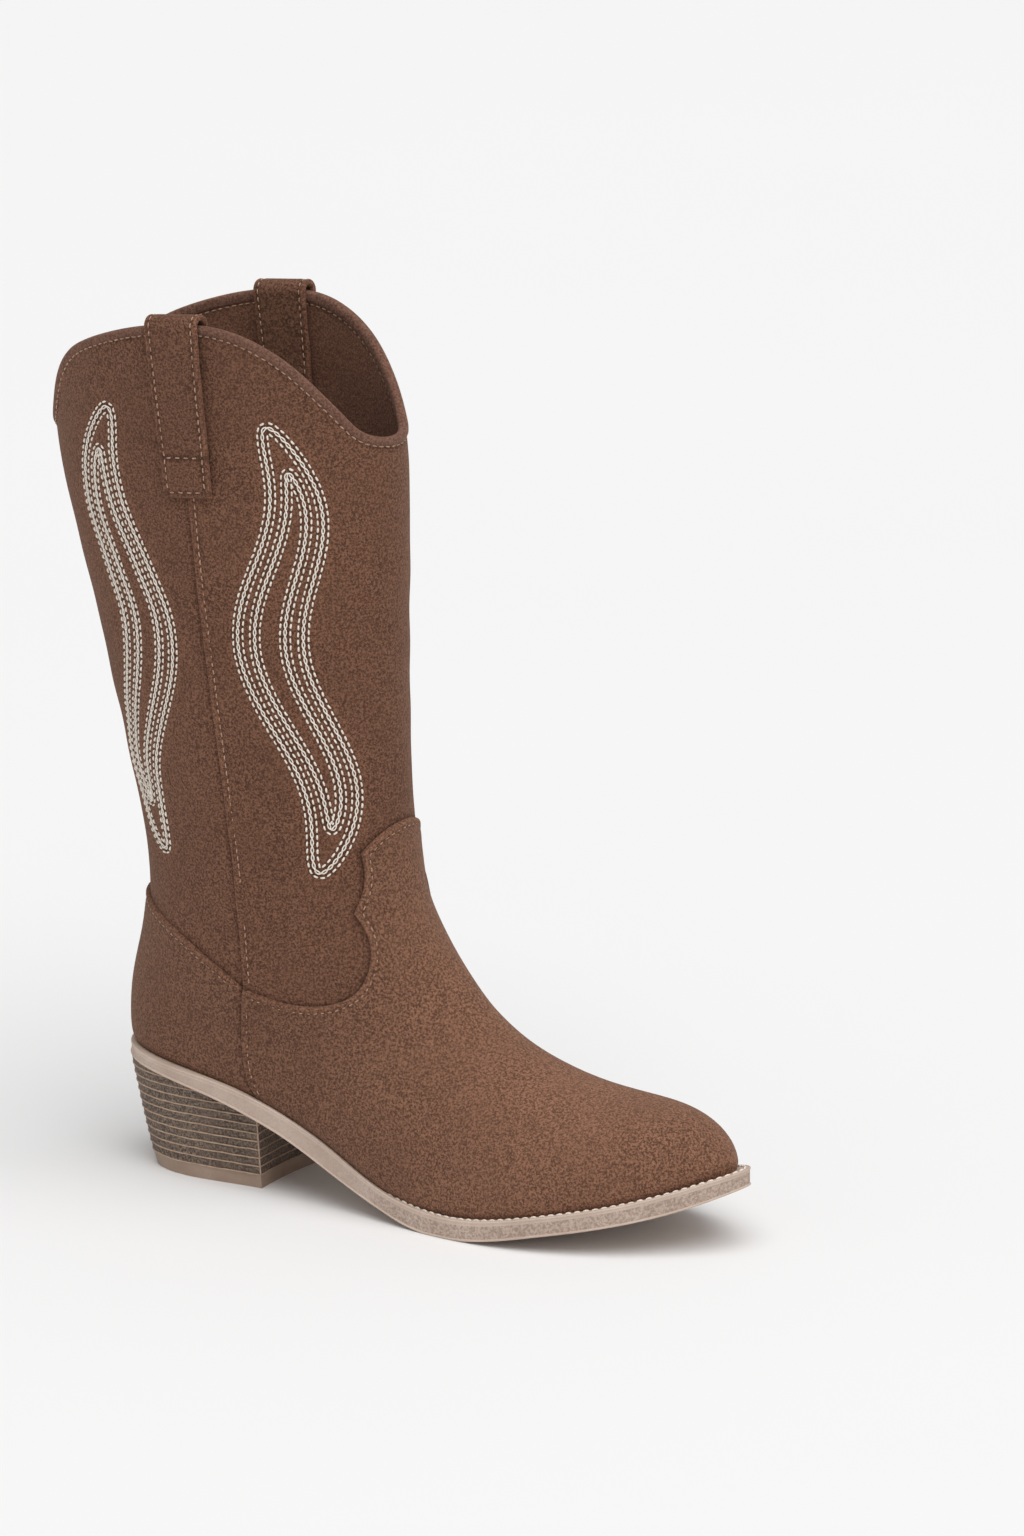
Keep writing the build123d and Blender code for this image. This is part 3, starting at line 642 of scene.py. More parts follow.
def wave_loop(half_width, inset):
    """A plain waving leaf: an ellipse bent along a sine, as (distance from seam, height)."""
    middle = (WAVE_HEAD + WAVE_FOOT) / 2
    half_length = (WAVE_HEAD - WAVE_FOOT) / 2 - inset
    points = []
    for turn in np.arange(48) * math.pi / 24:
        height = middle + half_length * math.cos(turn)
        share = (height - WAVE_FOOT) / (WAVE_HEAD - WAVE_FOOT)
        centre = WAVE_MIDDLE + WAVE_SWAY * math.sin(2 * math.pi * WAVE_TURNS * share)
        points.append((centre + half_width * math.sin(turn), height))
    return points


def wave_places(table, loop, forward):
    """Places of one closed loop, ahead of the seam or mirrored behind it."""
    heights, columns, rows, reach = table
    places = []
    for away, height in smooth_line(loop, 0.5, closed=True):
        cell = min(int((height - heights[0]) / 2.0), len(heights) - 2)
        share = (height - heights[cell]) / 2.0
        found = []
        for level in (cell, cell + 1):
            column = np.interp(away * forward, reach[level], columns * np.sign(columns[-1]))
            row = np.interp(column, np.abs(columns), rows[level])
            found.append((row, column * np.sign(columns[-1])))
        places.append([(1 - share) * low + share * high for low, high in zip(*found)])
    return np.array(places)


stitched_waves = []
for direction in (1, -1):
    table = wave_table(direction)
    for forward in (1, -1):
        for half_width, inset in WAVE_LOOPS:
            stitched_waves.append(wave_places(table, wave_loop(half_width, inset), forward))
wave_points = np.concatenate([read(SKIN, places) for places in stitched_waves])


# ---- materials -------------------------------------------------------------------------------
def srgb(red, green, blue):
    """Linear colour from an 8-bit display colour."""
    return tuple((value / 255 / 12.92 if value < 10.3 else ((value / 255 + 0.055) / 1.055) ** 2.4)
                 for value in (red, green, blue)) + (1.0,)


class Finish:
    """A procedural material and short calls for its nodes."""

    def __init__(self, name, roughness, sheen=0.0, sheen_tint=(1, 1, 1, 1), specular=0.5):
        self.material = bpy.data.materials.new(name)
        self.material.use_nodes = True
        self.tree = self.material.node_tree
        self.shader = self.tree.nodes["Principled BSDF"]
        self.shader.inputs["Roughness"].default_value = roughness
        self.shader.inputs["Specular IOR Level"].default_value = specular
        self.shader.inputs["Sheen Weight"].default_value = sheen
        self.shader.inputs["Sheen Roughness"].default_value = 0.55
        self.shader.inputs["Sheen Tint"].default_value = sheen_tint
        self.place = self.node("ShaderNodeTexCoord").outputs["Object"]
        self.height = None

    def node(self, kind, **values):
        node = self.tree.nodes.new(kind)
        for key, value in values.items():
            setattr(node, key, value)
        return node

    def noise(self, scale, detail=3.0, roughness=0.55, stretch=None):
        node = self.node("ShaderNodeTexNoise")
        node.inputs["Scale"].default_value = scale
        node.inputs["Detail"].default_value = detail
        node.inputs["Roughness"].default_value = roughness
        source = self.place
        if stretch:
            mapping = self.node("ShaderNodeMapping")
            mapping.inputs["Scale"].default_value = stretch
            self.tree.links.new(source, mapping.inputs["Vector"])
            source = mapping.outputs["Vector"]
        self.tree.links.new(source, node.inputs["Vector"])
        return node.outputs["Fac"]

    def attribute(self, name):
        node = self.node("ShaderNodeAttribute")
        node.attribute_name = name
        return node.outputs["Fac"]

    def along_boot(self):
        """Distance in metres forward of the heel's middle."""
        node = self.node("ShaderNodeSeparateXYZ")
        self.tree.links.new(self.place, node.inputs[0])
        return node.outputs[0]

    def ramp(self, source, low, high, start=0.0, end=1.0):
        node = self.node("ShaderNodeMapRange")
        node.inputs["From Min"].default_value = low
        node.inputs["From Max"].default_value = high
        node.inputs["To Min"].default_value = start
        node.inputs["To Max"].default_value = end
        self.tree.links.new(source, node.inputs["Value"])
        return node.outputs["Result"]

    def mix(self, share, first, second, kind="MIX"):
        node = self.node("ShaderNodeMix", data_type="RGBA", blend_type=kind)
        for socket, value in ((node.inputs[0], share), (node.inputs[6], first),
                              (node.inputs[7], second)):
            if isinstance(value, bpy.types.NodeSocket):
                self.tree.links.new(value, socket)
            else:
                socket.default_value = value
        return node.outputs[2]

    def colour(self, source):
        self.tree.links.new(source, self.shader.inputs["Base Color"])

    def roughness(self, source):
        self.tree.links.new(source, self.shader.inputs["Roughness"])

    def bump(self, source, depth, strength=1.0):
        """Raise the surface by `source` times a depth in millimetres."""
        node = self.node("ShaderNodeBump")
        node.inputs["Distance"].default_value = depth / 1000
        node.inputs["Strength"].default_value = strength
        self.tree.links.new(source, node.inputs["Height"])
        if self.height is not None:
            self.tree.links.new(self.height, node.inputs["Normal"])
        self.height = node.outputs["Normal"]
        self.tree.links.new(self.height, self.shader.inputs["Normal"])


def suede(name, middle, dark, light, marks=False, painted_toe_light=False):
    """Brushed microsuede: fine nap, soft cloudy tone; with marks, paler on rolled edges and raised
    puffs (partly rubbed, partly painted highlight) and darker in seams and grooves (painted shade); on
    the vamp, painted light over the toe.
    """
    finish = Finish(name, 0.93, sheen=0.22, sheen_tint=srgb(214, 178, 156), specular=0.2)
    nap = finish.noise(1150, 4, 0.7)
    colour = finish.mix(finish.ramp(nap, 0.43, 0.59), dark, light)
    fleck = finish.noise(2100, 2, 0.5)
    colour = finish.mix(finish.ramp(fleck, 0.56, 0.7, 0, 0.6), colour, light)
    clouds = finish.noise(42, 4, 0.6)
    colour = finish.mix(finish.ramp(clouds, 0.3, 0.7, 0.35, 0.05), colour, middle)
    shade = finish.noise(16, 2, 0.5)
    darker = finish.mix(1.0, colour, (0.86, 0.85, 0.85, 1), "MULTIPLY")
    colour = finish.mix(finish.ramp(shade, 0.42, 0.68, 0.0, 0.8), colour, darker)
    if marks:
        # paler where the per-vertex mask is high: rubbed rolled edges, plus painted highlight on
        # raised crests and puffs
        paler = finish.mix(1.0, colour, (1.22, 1.2, 1.2, 1), "MULTIPLY")
        colour = finish.mix(finish.attribute("wear"), colour, paler)
        # painted shade: darker in seams, stitch grooves, lapped edges and along the sole line, where
        # shadow falls
        deeper = finish.mix(1.0, colour, (0.5, 0.46, 0.44, 1), "MULTIPLY")
        colour = finish.mix(finish.attribute("crevice"), colour, deeper)
    if painted_toe_light:
        # painted light: the forefoot and toe lightened as if lit from above and in front
        toe_light_colour = finish.mix(1.0, colour, (1.4, 1.4, 1.4, 1), "MULTIPLY")
        colour = finish.mix(finish.ramp(finish.along_boot(), 0.04, 0.15), colour, toe_light_colour)
    finish.colour(colour)
    finish.bump(finish.noise(1300, 3, 0.6), 0.4)
    finish.bump(finish.noise(420, 2, 0.5), 0.3)
    return finish.material


def rubber(name, base, light, speck, speckled):
    """Moulded sole rubber; `speckled` gives the forepart a crumb surface."""
    finish = Finish(name, 0.62, specular=0.4)
    fine = finish.noise(1300, 3, 0.6)
    colour = finish.mix(finish.ramp(finish.noise(70, 3, 0.6), 0.3, 0.7), base, light)
    colour = finish.mix(finish.ramp(fine, 0.45, 0.72, 0.0, 0.3), colour, speck)
    if speckled:
        crumbs = finish.noise(900, 4, 0.7)
        rough = finish.mix(finish.ramp(crumbs, 0.45, 0.6, 0.0, 0.8), colour, speck)
        pale = finish.mix(finish.ramp(crumbs, 0.34, 0.46, 0.7, 0.0), rough, light)
        colour = finish.mix(finish.ramp(finish.along_boot(), 0.06, 0.1), colour, pale)
        finish.bump(crumbs, 0.12)
    finish.bump(fine, 0.08)
    finish.colour(colour)
    return finish.material


def stacked(name):
    """Leather-look heel lift: dark crumbled grain with pale flecks."""
    finish = Finish(name, 0.7, specular=0.35)
    crumbs = finish.noise(1100, 3, 0.65)
    colour = finish.mix(finish.ramp(crumbs, 0.42, 0.64), srgb(72, 61, 56), srgb(150, 130, 112))
    clouds = finish.noise(95, 3, 0.6, stretch=(1, 1, 0.35))
    colour = finish.mix(finish.ramp(clouds, 0.35, 0.7, 0.0, 0.5), colour, srgb(110, 93, 82))
    finish.colour(colour)
    finish.bump(crumbs, 0.3)
    return finish.material


def plain(name, base, other, scale, roughness, depth=0.1, metallic=0.0):
    """Mottled stuff for threads and the layers inside."""
    finish = Finish(name, roughness, specular=0.3)
    finish.shader.inputs["Metallic"].default_value = metallic
    grain = finish.noise(scale, 3, 0.6)
    finish.colour(finish.mix(finish.ramp(grain, 0.3, 0.7), base, other))
    finish.bump(grain, depth)
    return finish.material


def thread(name, base, other):
    """Twisted polyester sewing thread."""
    finish = Finish(name, 0.55, sheen=0.15, specular=0.4)
    plies = finish.noise(2600, 1, 0.4)
    finish.colour(finish.mix(finish.ramp(plies, 0.35, 0.65), base, other))
    finish.bump(plies, 0.06)
    return finish.material


shaft_look = suede("shaft_suede", srgb(105, 72, 55), srgb(70, 45, 33), srgb(138, 98, 77), True)
# the vamp's suede gets painted light over its toe
vamp_look = suede("vamp_suede", srgb(106, 74, 57), srgb(71, 47, 35), srgb(140, 101, 80), True,
                  painted_toe_light=True)
strap_look = suede("strap_suede", srgb(105, 72, 55), srgb(70, 45, 33), srgb(138, 98, 77), True)
binding_look = suede("binding", srgb(114, 81, 66), srgb(88, 60, 49), srgb(136, 100, 84))
lining_look = suede("lining", srgb(116, 79, 62), srgb(88, 58, 45), srgb(140, 100, 80))
cord_look = thread("thread", srgb(250, 243, 233), srgb(226, 212, 196))
seam_look = thread("seam_thread", srgb(196, 160, 134), srgb(146, 110, 88))


board_look = plain("stiffener_board", srgb(196, 176, 150), srgb(170, 150, 126), 300, 0.8)
felt_look = plain("interlining", srgb(222, 216, 204), srgb(200, 192, 178), 500, 0.9)

# ---- shaft panels ----------------------------------------------------------------------------
def shaft_panel(name, node, field, seam_reach, lap):
    """A shaft panel; `seam_reach` is the distance ahead of the side seam."""
    places, faces, _ = patch(field)

    def near_seam(points):
        low = points[:, 2] < height_at(topline, points[:, 0]) - 2.5
        return low & (points[:, 2] > 60)

    distance = edge_distance(places, faces, near_seam)
    if lap:
        places, faces, distance = with_rings(places, faces, distance, (0.45, 1.0))
    points = read(SKIN, places)
    ahead = read(seam_reach, places)
    to_wave = distance_to(points, wave_points)
    outside = 0.28 * wander(points, 34, 5) + 0.05
    outside -= 0.34 * bump(to_wave, 0, 3.4)
    # paler on the rise beside the stitched waves (painted highlight), darker right at their cords
    # (painted shade)
    wear = 0.55 * bump(to_wave, 3.6, 1.6)
    crevice = 0.5 * bump(to_wave, 0.6, 1.5)
    if lap:
        outside += (folded(distance, LAP, 3.0) - 0.02) * (1 - ease(distance, 5.0, 11.0))
        # paler on the crest of the lap's rolled edge, partly rubbed, partly painted highlight; darker
        # in its stitch groove (painted shade)
        wear = wear + 0.8 * bump(distance, 1.2, 0.8)
        crevice = crevice + 0.45 * bump(distance, 3.0, 0.6)
    else:
        outside -= 0.5 * ease(ahead, -2.5, 0.5)
        # painted shade in the step under the front panel's lap
        crevice = crevice + 0.9 * bump(ahead, 0.2, 0.9)
    # painted shade: contact shadow on the shaft just outside the vamp and counter edges
    to_cover = np.maximum(read(VAMP_REGION, places), read(COUNTER_REGION, places))
    crevice = crevice + 0.85 * bump(np.clip(to_cover, -9, 0), 0, 1.1)
    below_top = height_at(topline, points[:, 0]) - points[:, 2]
    outside -= 0.25 * bump(below_top, 2.8, 0.9)
    # painted shade in the topline stitch groove
    crevice = crevice + 0.5 * bump(below_top, 2.7, 0.8)
    inside = np.full(len(points), PANEL_INSIDE)
    piece = close_patch(name, places, faces, outside, inside, wear=np.clip(wear, 0, 1),
                        crevice=np.clip(crevice, 0, 1))
    piece.data.materials.append(shaft_look)
    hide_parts(node)
    return places, faces, distance


shaft_field = np.minimum(BELOW_TOPLINE, ABOVE_HEM)
front_patch = shaft_panel("front_shaft_skin", "shaft_front_panel",
                          np.minimum(shaft_field, AHEAD_OF_SEAM), AHEAD_OF_SEAM, True)
shaft_panel("back_shaft_skin", "shaft_back_panel",
            np.minimum(shaft_field, 6 - AHEAD_OF_SEAM), AHEAD_OF_SEAM, False)


# ---- vamp and counter ------------------------------------------------------------------------
def cover_panel(name, node, field, lowered, raised=0.0):
    """Vamp or counter over the shaft; `lowered` marks where it lies under its neighbour."""
    places, faces, _ = patch(np.minimum(field, ABOVE_SOLE + 0.3))

    def turned_edge(points):
        return points[:, 2] > height_at(sole_top, points[:, 0]) + 1.5

    distance = edge_distance(places, faces, turned_edge)
    places, faces, distance = with_rings(places, faces, distance, (0.4, 0.9))
    points = read(SKIN, places)
    under = read(lowered, places)
    over_sole = points[:, 2] - height_at(sole_top, points[:, 0])
    open_edge = 1 - ease(under, -1.0, 1.0)
    outside = folded(distance, COVER, 2.6) * open_edge + (COVER - 0.55) * (1 - open_edge)
    outside += 0.3 * wander(points, 38, 9) * ease(distance, 1, 9)
    outside += raised * (1 - ease(distance, 4, 9)) * open_edge
    outside -= 0.85 * np.exp(-(np.clip(over_sole, 0, 9) / 1.7) ** 2)
    # paler on the rolled edge's crest, partly rubbed, partly painted highlight
    wear = 0.85 * bump(distance, 1.0, 0.8) * open_edge
    # painted shade in the stitch groove, along the foot of the upper at the sole, and where the panel
    # tucks under its neighbour
    crevice = 0.5 * bump(distance, 2.6, 0.6) * open_edge + 0.9 * bump(over_sole, -0.2, 1.6)
    crevice = crevice + 0.9 * bump(under, 0.0, 0.9) * (under > -4)
    piece = close_patch(name, places, faces, outside, 0.06, (1.1, 2.3),
                        wear=np.clip(wear, 0, 1), crevice=np.clip(crevice, 0, 1))
    piece.data.materials.append(vamp_look)
    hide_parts(node)
    return places, faces, distance


quarter_line = side(QUARTER_SEAM)
behind_quarter = np.interp(-SKIN[:, :, 2], -quarter_line[:, 1], quarter_line[:, 0]) - SKIN[:, :, 0]
vamp_patch = cover_panel("vamp_skin", "vamp", VAMP_REGION, np.full((ROWS, COLUMNS), -9.0), 0.35)
counter_tuck = np.maximum(COUNTER_REGION, np.minimum(VAMP_REGION, 5 + behind_quarter))
counter_tuck = np.where(SKIN[:, :, 2] < 79, counter_tuck, COUNTER_REGION)
counter_patch = cover_panel("counter_skin", "counter_cover", counter_tuck,
                            np.where(SKIN[:, :, 2] < 84, -behind_quarter, -9.0))

# ---- lining ----------------------------------------------------------------------------------
places, faces, _ = patch(np.minimum(BELOW_TOPLINE - 0.4, ABOVE_SOLE - 0.4), step=2)
lining_points = read(SKIN, places)
lining = close_patch("boot_lining", places, faces, LINING_OUTSIDE,
                     LINING_INSIDE + 0.2 * wander(lining_points, 30, 12), (3.7, 4.6))
lining.data.materials.append(lining_look)
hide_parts("shaft_lining_front", "shaft_lining_back", "vamp_lining", "heel_lining")

# ---- stiffening between cover and lining -----------------------------------------------------
TOE_PUFF_BACK = 212.0 - HEEL_TO_ORIGIN
under_hem = np.minimum(0.5 - ABOVE_HEM, ABOVE_SOLE - 0.1)
ahead_of_puff = SKIN[:, :, 0] - TOE_PUFF_BACK
for name, node, look, field in (
        ("heel_stiffener_shell", "heel_stiffener", "board", -AHEAD_OF_SEAM),
        ("vamp_backing", "vamp_interlining", "felt", np.minimum(AHEAD_OF_SEAM, -ahead_of_puff)),
        ("toe_puff_shell", "toe_puff", "board", ahead_of_puff)):
    places, faces, _ = patch(np.minimum(under_hem, field), step=2)
    shell = close_patch(name, places, faces, -0.05, -1.25, (2.4, 3.6))
    shell.data.materials.append(board_look if look == "board" else felt_look)
    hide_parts(node)

# ---- topline binding -------------------------------------------------------------------------
BINDING_PROFILE = [(3.3, -0.75), (2.8, -0.3), (2.3, 0.12), (1.9, 0.55), (1.3, 0.85), (0.5, 0.9),
                   (-0.3, 0.6), (-0.75, -0.1), (-0.9, -1.15), (-0.75, -2.2), (-0.3, -2.8),
                   (0.5, -3.05), (1.6, -3.1), (2.9, -3.0), (3.3, -2.75), (3.25, -2.4),
                   (0.6, -2.3), (0.4, -1.15), (0.6, -0.75)]


def topline_places():
    """Where each column of the skin meets the topline."""
    rows = []
    for column in range(COLUMNS):
        field = BELOW_TOPLINE[:ROWS // 2, column]
        below = int(np.argmax(field > 0))
        above = below - 1
        rows.append(above + field[above] / (field[above] - field[below]))
    rows = np.array(rows)
    return np.stack([(np.roll(rows, 1) + 2 * rows + np.roll(rows, -1)) / 4,
                     np.arange(COLUMNS)], 1)


mouth = topline_places()
mouth_points, mouth_normals = read(SKIN, mouth), unit(read(NORMALS, mouth))
mouth_run = unit(np.roll(mouth_points, -1, axis=0) - np.roll(mouth_points, 1, axis=0))
mouth_down = np.cross(mouth_run, mouth_normals)
mouth_down *= -np.sign(mouth_down[:, 2:])
rings = np.stack([mouth_points + down * mouth_down + out * mouth_normals
                  for down, out in BINDING_PROFILE], 1)
size = len(BINDING_PROFILE)
here = np.arange(COLUMNS)[:, None] * size + np.arange(size)
beside = np.arange(COLUMNS)[:, None] * size + (np.arange(size) + 1) % size
wrap = COLUMNS * size
quads = np.stack([here, (here + size) % wrap, (beside + size) % wrap, beside], -1).reshape(-1, 4)
binding = build_mesh("topline_roll", rings.reshape(-1, 3), quads, crease=60)
binding.data.materials.append(binding_look)
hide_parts("topline_binding")

# ---- pull straps -----------------------------------------------------------------------------
STRAP_FOOT = (45.4 - HEEL_TO_ORIGIN, 272.5)
STRAP_HEAD = (38.0 - HEEL_TO_ORIGIN, 342.0)
STRAP_HALF_FOOT = 10.5
STRAP_HALF_HEAD = 11.75
STRAP_BOX = 15.5             # height of the stitched square at the strap's end
STRAP_EDGE_STITCH = 2.2
STRAP_BEND_MIDDLE = 37.4
STRAP_BEND = 3.65
strap_run = np.subtract(STRAP_HEAD, STRAP_FOOT)
STRAP_LENGTH = float(np.linalg.norm(strap_run))
strap_run = strap_run / STRAP_LENGTH


def strap_line():
    """Centre line of the looped strap: (distance from the middle plane, height along it)."""
    turn = STRAP_LENGTH - STRAP_BEND - STRAP_THICK / 2
    outer = [(40.15 + 0.85 * ease(height, STRAP_BOX, 44), height)
             for height in np.arange(0, turn, 1.0)]
    bend = [(STRAP_BEND_MIDDLE + STRAP_BEND * math.cos(angle), turn + STRAP_BEND * math.sin(angle))
            for angle in np.linspace(0, math.pi, 14)]
    inner = [(STRAP_BEND_MIDDLE - STRAP_BEND, height) for height in np.arange(turn - 1, 19, -1.0)]
    return np.array(outer + bend + inner)


def strap_point(across, away, height, direction):
    """A point of a strap from its own coordinates."""
    x = STRAP_FOOT[0] + strap_run[0] * height + strap_run[1] * across
    z = STRAP_FOOT[1] + strap_run[1] * height - strap_run[0] * across
    return np.stack([x, direction * away, z], -1)


def make_strap(name, node, direction):
    line = strap_line()
    reach = np.concatenate([[0], np.cumsum(np.linalg.norm(np.diff(line, axis=0), axis=1))])
    tangent = unit(np.gradient(line, axis=0))
    normal = np.stack([tangent[:, 1], -tangent[:, 0]], 1)
    half = STRAP_HALF_FOOT + (STRAP_HALF_HEAD - STRAP_HALF_FOOT) * np.clip(
        line[:, 1] / STRAP_LENGTH, 0, 1)
    shares = np.sin(np.linspace(-1, 1, 31) * math.pi / 2)
    across = half[:, None] * shares
    edge = half[:, None] - np.abs(across)
    end = np.minimum(reach, reach[-1] - reach)[:, None]
    rim = np.sqrt(np.clip(1 - (1 - np.clip(np.minimum(edge, end) / 1.0, 0, 1)) ** 2, 0, 1))
    grooves = bump(edge, STRAP_EDGE_STITCH, 0.7)
    boxed = reach[:, None] < STRAP_BOX + 2
    grooves = np.maximum(grooves, bump(reach[:, None], STRAP_BOX, 0.9) * (edge > 1.2))
    grooves = np.maximum(grooves, bump(reach[:, None], STRAP_EDGE_STITCH, 0.7))
    puff = 0.55 * ease(edge, 2.2, 5) * ease(reach, 2.2, 6)[:, None] \
        * (1 - ease(reach, STRAP_BOX - 4, STRAP_BOX))[:, None]
    thick = STRAP_THICK / 2 * (0.3 + 0.7 * rim) - 0.32 * grooves + puff * boxed
    under = STRAP_THICK / 2 * (0.3 + 0.7 * rim)
    sides = []
    for offset in (thick, -under):
        away = line[:, :1] + normal[:, :1] * offset
        height = line[:, 1:] + normal[:, 1:] * offset
        sides.append(strap_point(across, away, height, direction))
    rows, columns = across.shape
    here = (np.arange(rows - 1)[:, None] * columns + np.arange(columns - 1)).ravel()
    top = np.stack([here, here + 1, here + columns + 1, here + columns], 1)
    count = rows * columns
    ring = np.concatenate([np.arange(columns), np.arange(1, rows) * columns + columns - 1,
                           count - 2 - np.arange(columns - 1),
                           np.arange(rows - 2, 0, -1) * columns])
    following = np.roll(ring, -1)
    walls = np.stack([following, ring, ring + count, following + count], 1)
    faces = np.concatenate([top, top[:, ::-1] + count, walls])
    if direction > 0:
        faces = faces[:, ::-1]
    points = np.concatenate([surface.reshape(-1, 3) for surface in sides])
    points = points + 0.16 * wander(points, 22, 21)[:, None] * (0, 1, 0)
    # paler along the strap's rims, partly rubbed, partly painted highlight
    wear = np.tile((0.9 * bump(edge, 0.4, 0.8)).ravel(), 2)
    # painted shade in the stitch grooves and the fold at the stitched box
    fold = bump(reach[:, None], STRAP_BOX, 1.2) * np.ones_like(grooves)
    crevice = np.tile(np.clip(np.maximum(0.75 * grooves, fold), 0, 1).ravel(), 2)
    piece = build_mesh(name, points, faces, crease=60, wear=wear, crevice=crevice)
    piece.data.materials.append(strap_look)
    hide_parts(node)

    lines = []
    lift = STRAP_THICK / 2 - 0.25
    for sign in (1, -1):
        keep = (reach > STRAP_EDGE_STITCH) & (reach < reach[-1] - 3)
        away = line[keep, 0] + normal[keep, 0] * lift
        height = line[keep, 1] + normal[keep, 1] * lift
        inset = sign * (half[keep] - STRAP_EDGE_STITCH)
        outward = np.stack([strap_run[0] * normal[keep, 1], direction * normal[keep, 0],
                            strap_run[1] * normal[keep, 1]], 1)
        lines.append((strap_point(inset, away, height, direction), outward))
    for level in (STRAP_EDGE_STITCH, STRAP_BOX):
        inset = np.linspace(-1, 1, 30) * (STRAP_HALF_FOOT - STRAP_EDGE_STITCH)
        away = np.full(30, np.interp(level, reach, line[:, 0]) + lift)
        points = strap_point(inset, away, np.full(30, level), direction)
        lines.append((points, np.tile((0.0, direction, 0.0), (30, 1))))
    return [stitched(*run, **SEAM_STITCH) for run in lines]


strap_rows = make_strap("outer_strap_loop", "pull_strap_outer", -1)
strap_rows += make_strap("inner_strap_loop", "pull_strap_inner", 1)


# ---- seam stitches ---------------------------------------------------------------------------
def give_thread(piece, look):
    piece.data.materials.append(look)
    return piece


give_thread(stitch_mesh("strap_stitches", strap_rows), seam_look)


def on_shaft(points):
    clear = points[:, 2] < height_at(topline, points[:, 0]) - 6
    return clear & (points[:, 2] > 82) & (points[:, 0] < 60)


seam_lines = lines_on(parallel_lines(*front_patch, 3.0), LAP - 0.32, on_shaft)
seam_rows = [stitched(*run, **SEAM_STITCH) for run in seam_lines]


def off_sole(points):
    return points[:, 2] > height_at(sole_top, points[:, 0]) + 1.5


vamp_lines = lines_on(parallel_lines(*vamp_patch, 2.6), COVER - 0.1, off_sole)
seam_rows += [stitched(*run, **SEAM_STITCH) for run in vamp_lines]


def above_quarter(points):
    return (points[:, 2] > 80) & off_sole(points)


counter_lines = lines_on(parallel_lines(*counter_patch, 2.6), COVER - 0.34, above_quarter)
seam_rows += [stitched(*run, **SEAM_STITCH) for run in counter_lines]
give_thread(stitch_mesh("seam_stitches", seam_rows), seam_look)

mouth_rows = []
for drop, out, facing in ((2.75, 0.0, 1), (4.0, -2.35, -1)):
    loop = mouth_points + drop * mouth_down + out * mouth_normals
    loop = np.concatenate([loop, loop[:1]])
    outward = np.concatenate([mouth_normals, mouth_normals[:1]]) * facing
    mouth_rows.append(stitched(loop, outward, **SEAM_STITCH))
give_thread(stitch_mesh("topline_stitches", mouth_rows), seam_look)

# ---- wave stitching ------------------------------------------------------------------------
CORD_PLIES = 2
CORD_RADIUS = 0.28
CORD_TWIST = 6.0             # length of one full twist
CORD_SWING = 0.5
cord_paths = []
wave_rows = []
for places in stitched_waves:
    points, normals = read(SKIN, places), unit(read(NORMALS, places))
    points = points + normals * (0.28 * wander(points, 34, 5) - 0.25)[:, None]
    run = unit(np.roll(points, -1, axis=0) - np.roll(points, 1, axis=0))
    across = unit(np.cross(normals, run))
    steps = np.linalg.norm(np.roll(points, -1, axis=0) - points, axis=1)
    reach = np.concatenate([[0], np.cumsum(steps)[:-1]])
    turns = round(steps.sum() / CORD_TWIST)
    for ply in range(CORD_PLIES):
        angle = 2 * math.pi * (turns * reach / steps.sum() + ply / CORD_PLIES)
        path = points + across * (CORD_SWING * np.sin(angle))[:, None]
        path = path + normals * (0.3 + 0.2 * np.cos(angle))[:, None]
        cord_paths.append((path, normals))
    for flank in (-WAVE_FLANK, WAVE_FLANK):
        loop = points + across * flank + normals * 0.1
        loop = np.concatenate([loop, loop[:1]])
        outward = np.concatenate([normals, normals[:1]])
        wave_rows.append(stitched(loop, outward, **WAVE_STITCH))
give_thread(joined_mesh("scroll_cord", *tubes(cord_paths, CORD_RADIUS, 6, closed=True)),
            cord_look)
give_thread(stitch_mesh("scroll_stitches", wave_rows), cord_look)

# ---- welt stitches and the sole's ridges -----------------------------------------------------
sole_bottom = np.concatenate([side(SOLE_REAR), side(SOLE_FRONT)])


def ring_path(inset, line, rise):
    """The sole's outline at a side-view line's height, with sideways normals."""
    flat = sole_ring - inset * ring_out
    height = height_at(line, flat[:, 0]) + rise
    points = np.column_stack([flat, height])
    return points, np.column_stack([ring_out, np.zeros(len(ring_out))])


ridges = [ring_path(0.25, sole_top, -0.42), ring_path(0.1, sole_bottom, 0.5)]
ridge_piece = joined_mesh("sole_ridges", *tubes(ridges, 0.5, 8, closed=True))
welt_line, _ = ring_path(1.75, sole_top, 0.05)
start = int(np.argmin(np.hypot(sole_ring[:, 0] - 92, sole_ring[:, 1] + 38)))
stop = int(np.argmin(np.hypot(sole_ring[:, 0] - 92, sole_ring[:, 1] - 38)))
welt_line = welt_line[min(start, stop):max(start, stop)]
welt_rows = [stitched(welt_line, np.tile((0.0, 0.0, 1.0), (len(welt_line), 1)), **WELT_STITCH)]
give_thread(stitch_mesh("welt_stitches", welt_rows), cord_look)

# ---- heel: pale glue lines between the lifts and on the breast's corners ---------------------
LIFTS = 11
LIFT = 3.4
TOP_LIFT = 5.6
HEEL_BREAST = 67.0
BREAST_HOLLOW = 1.8
HEEL_SEAT_Z = 43.0


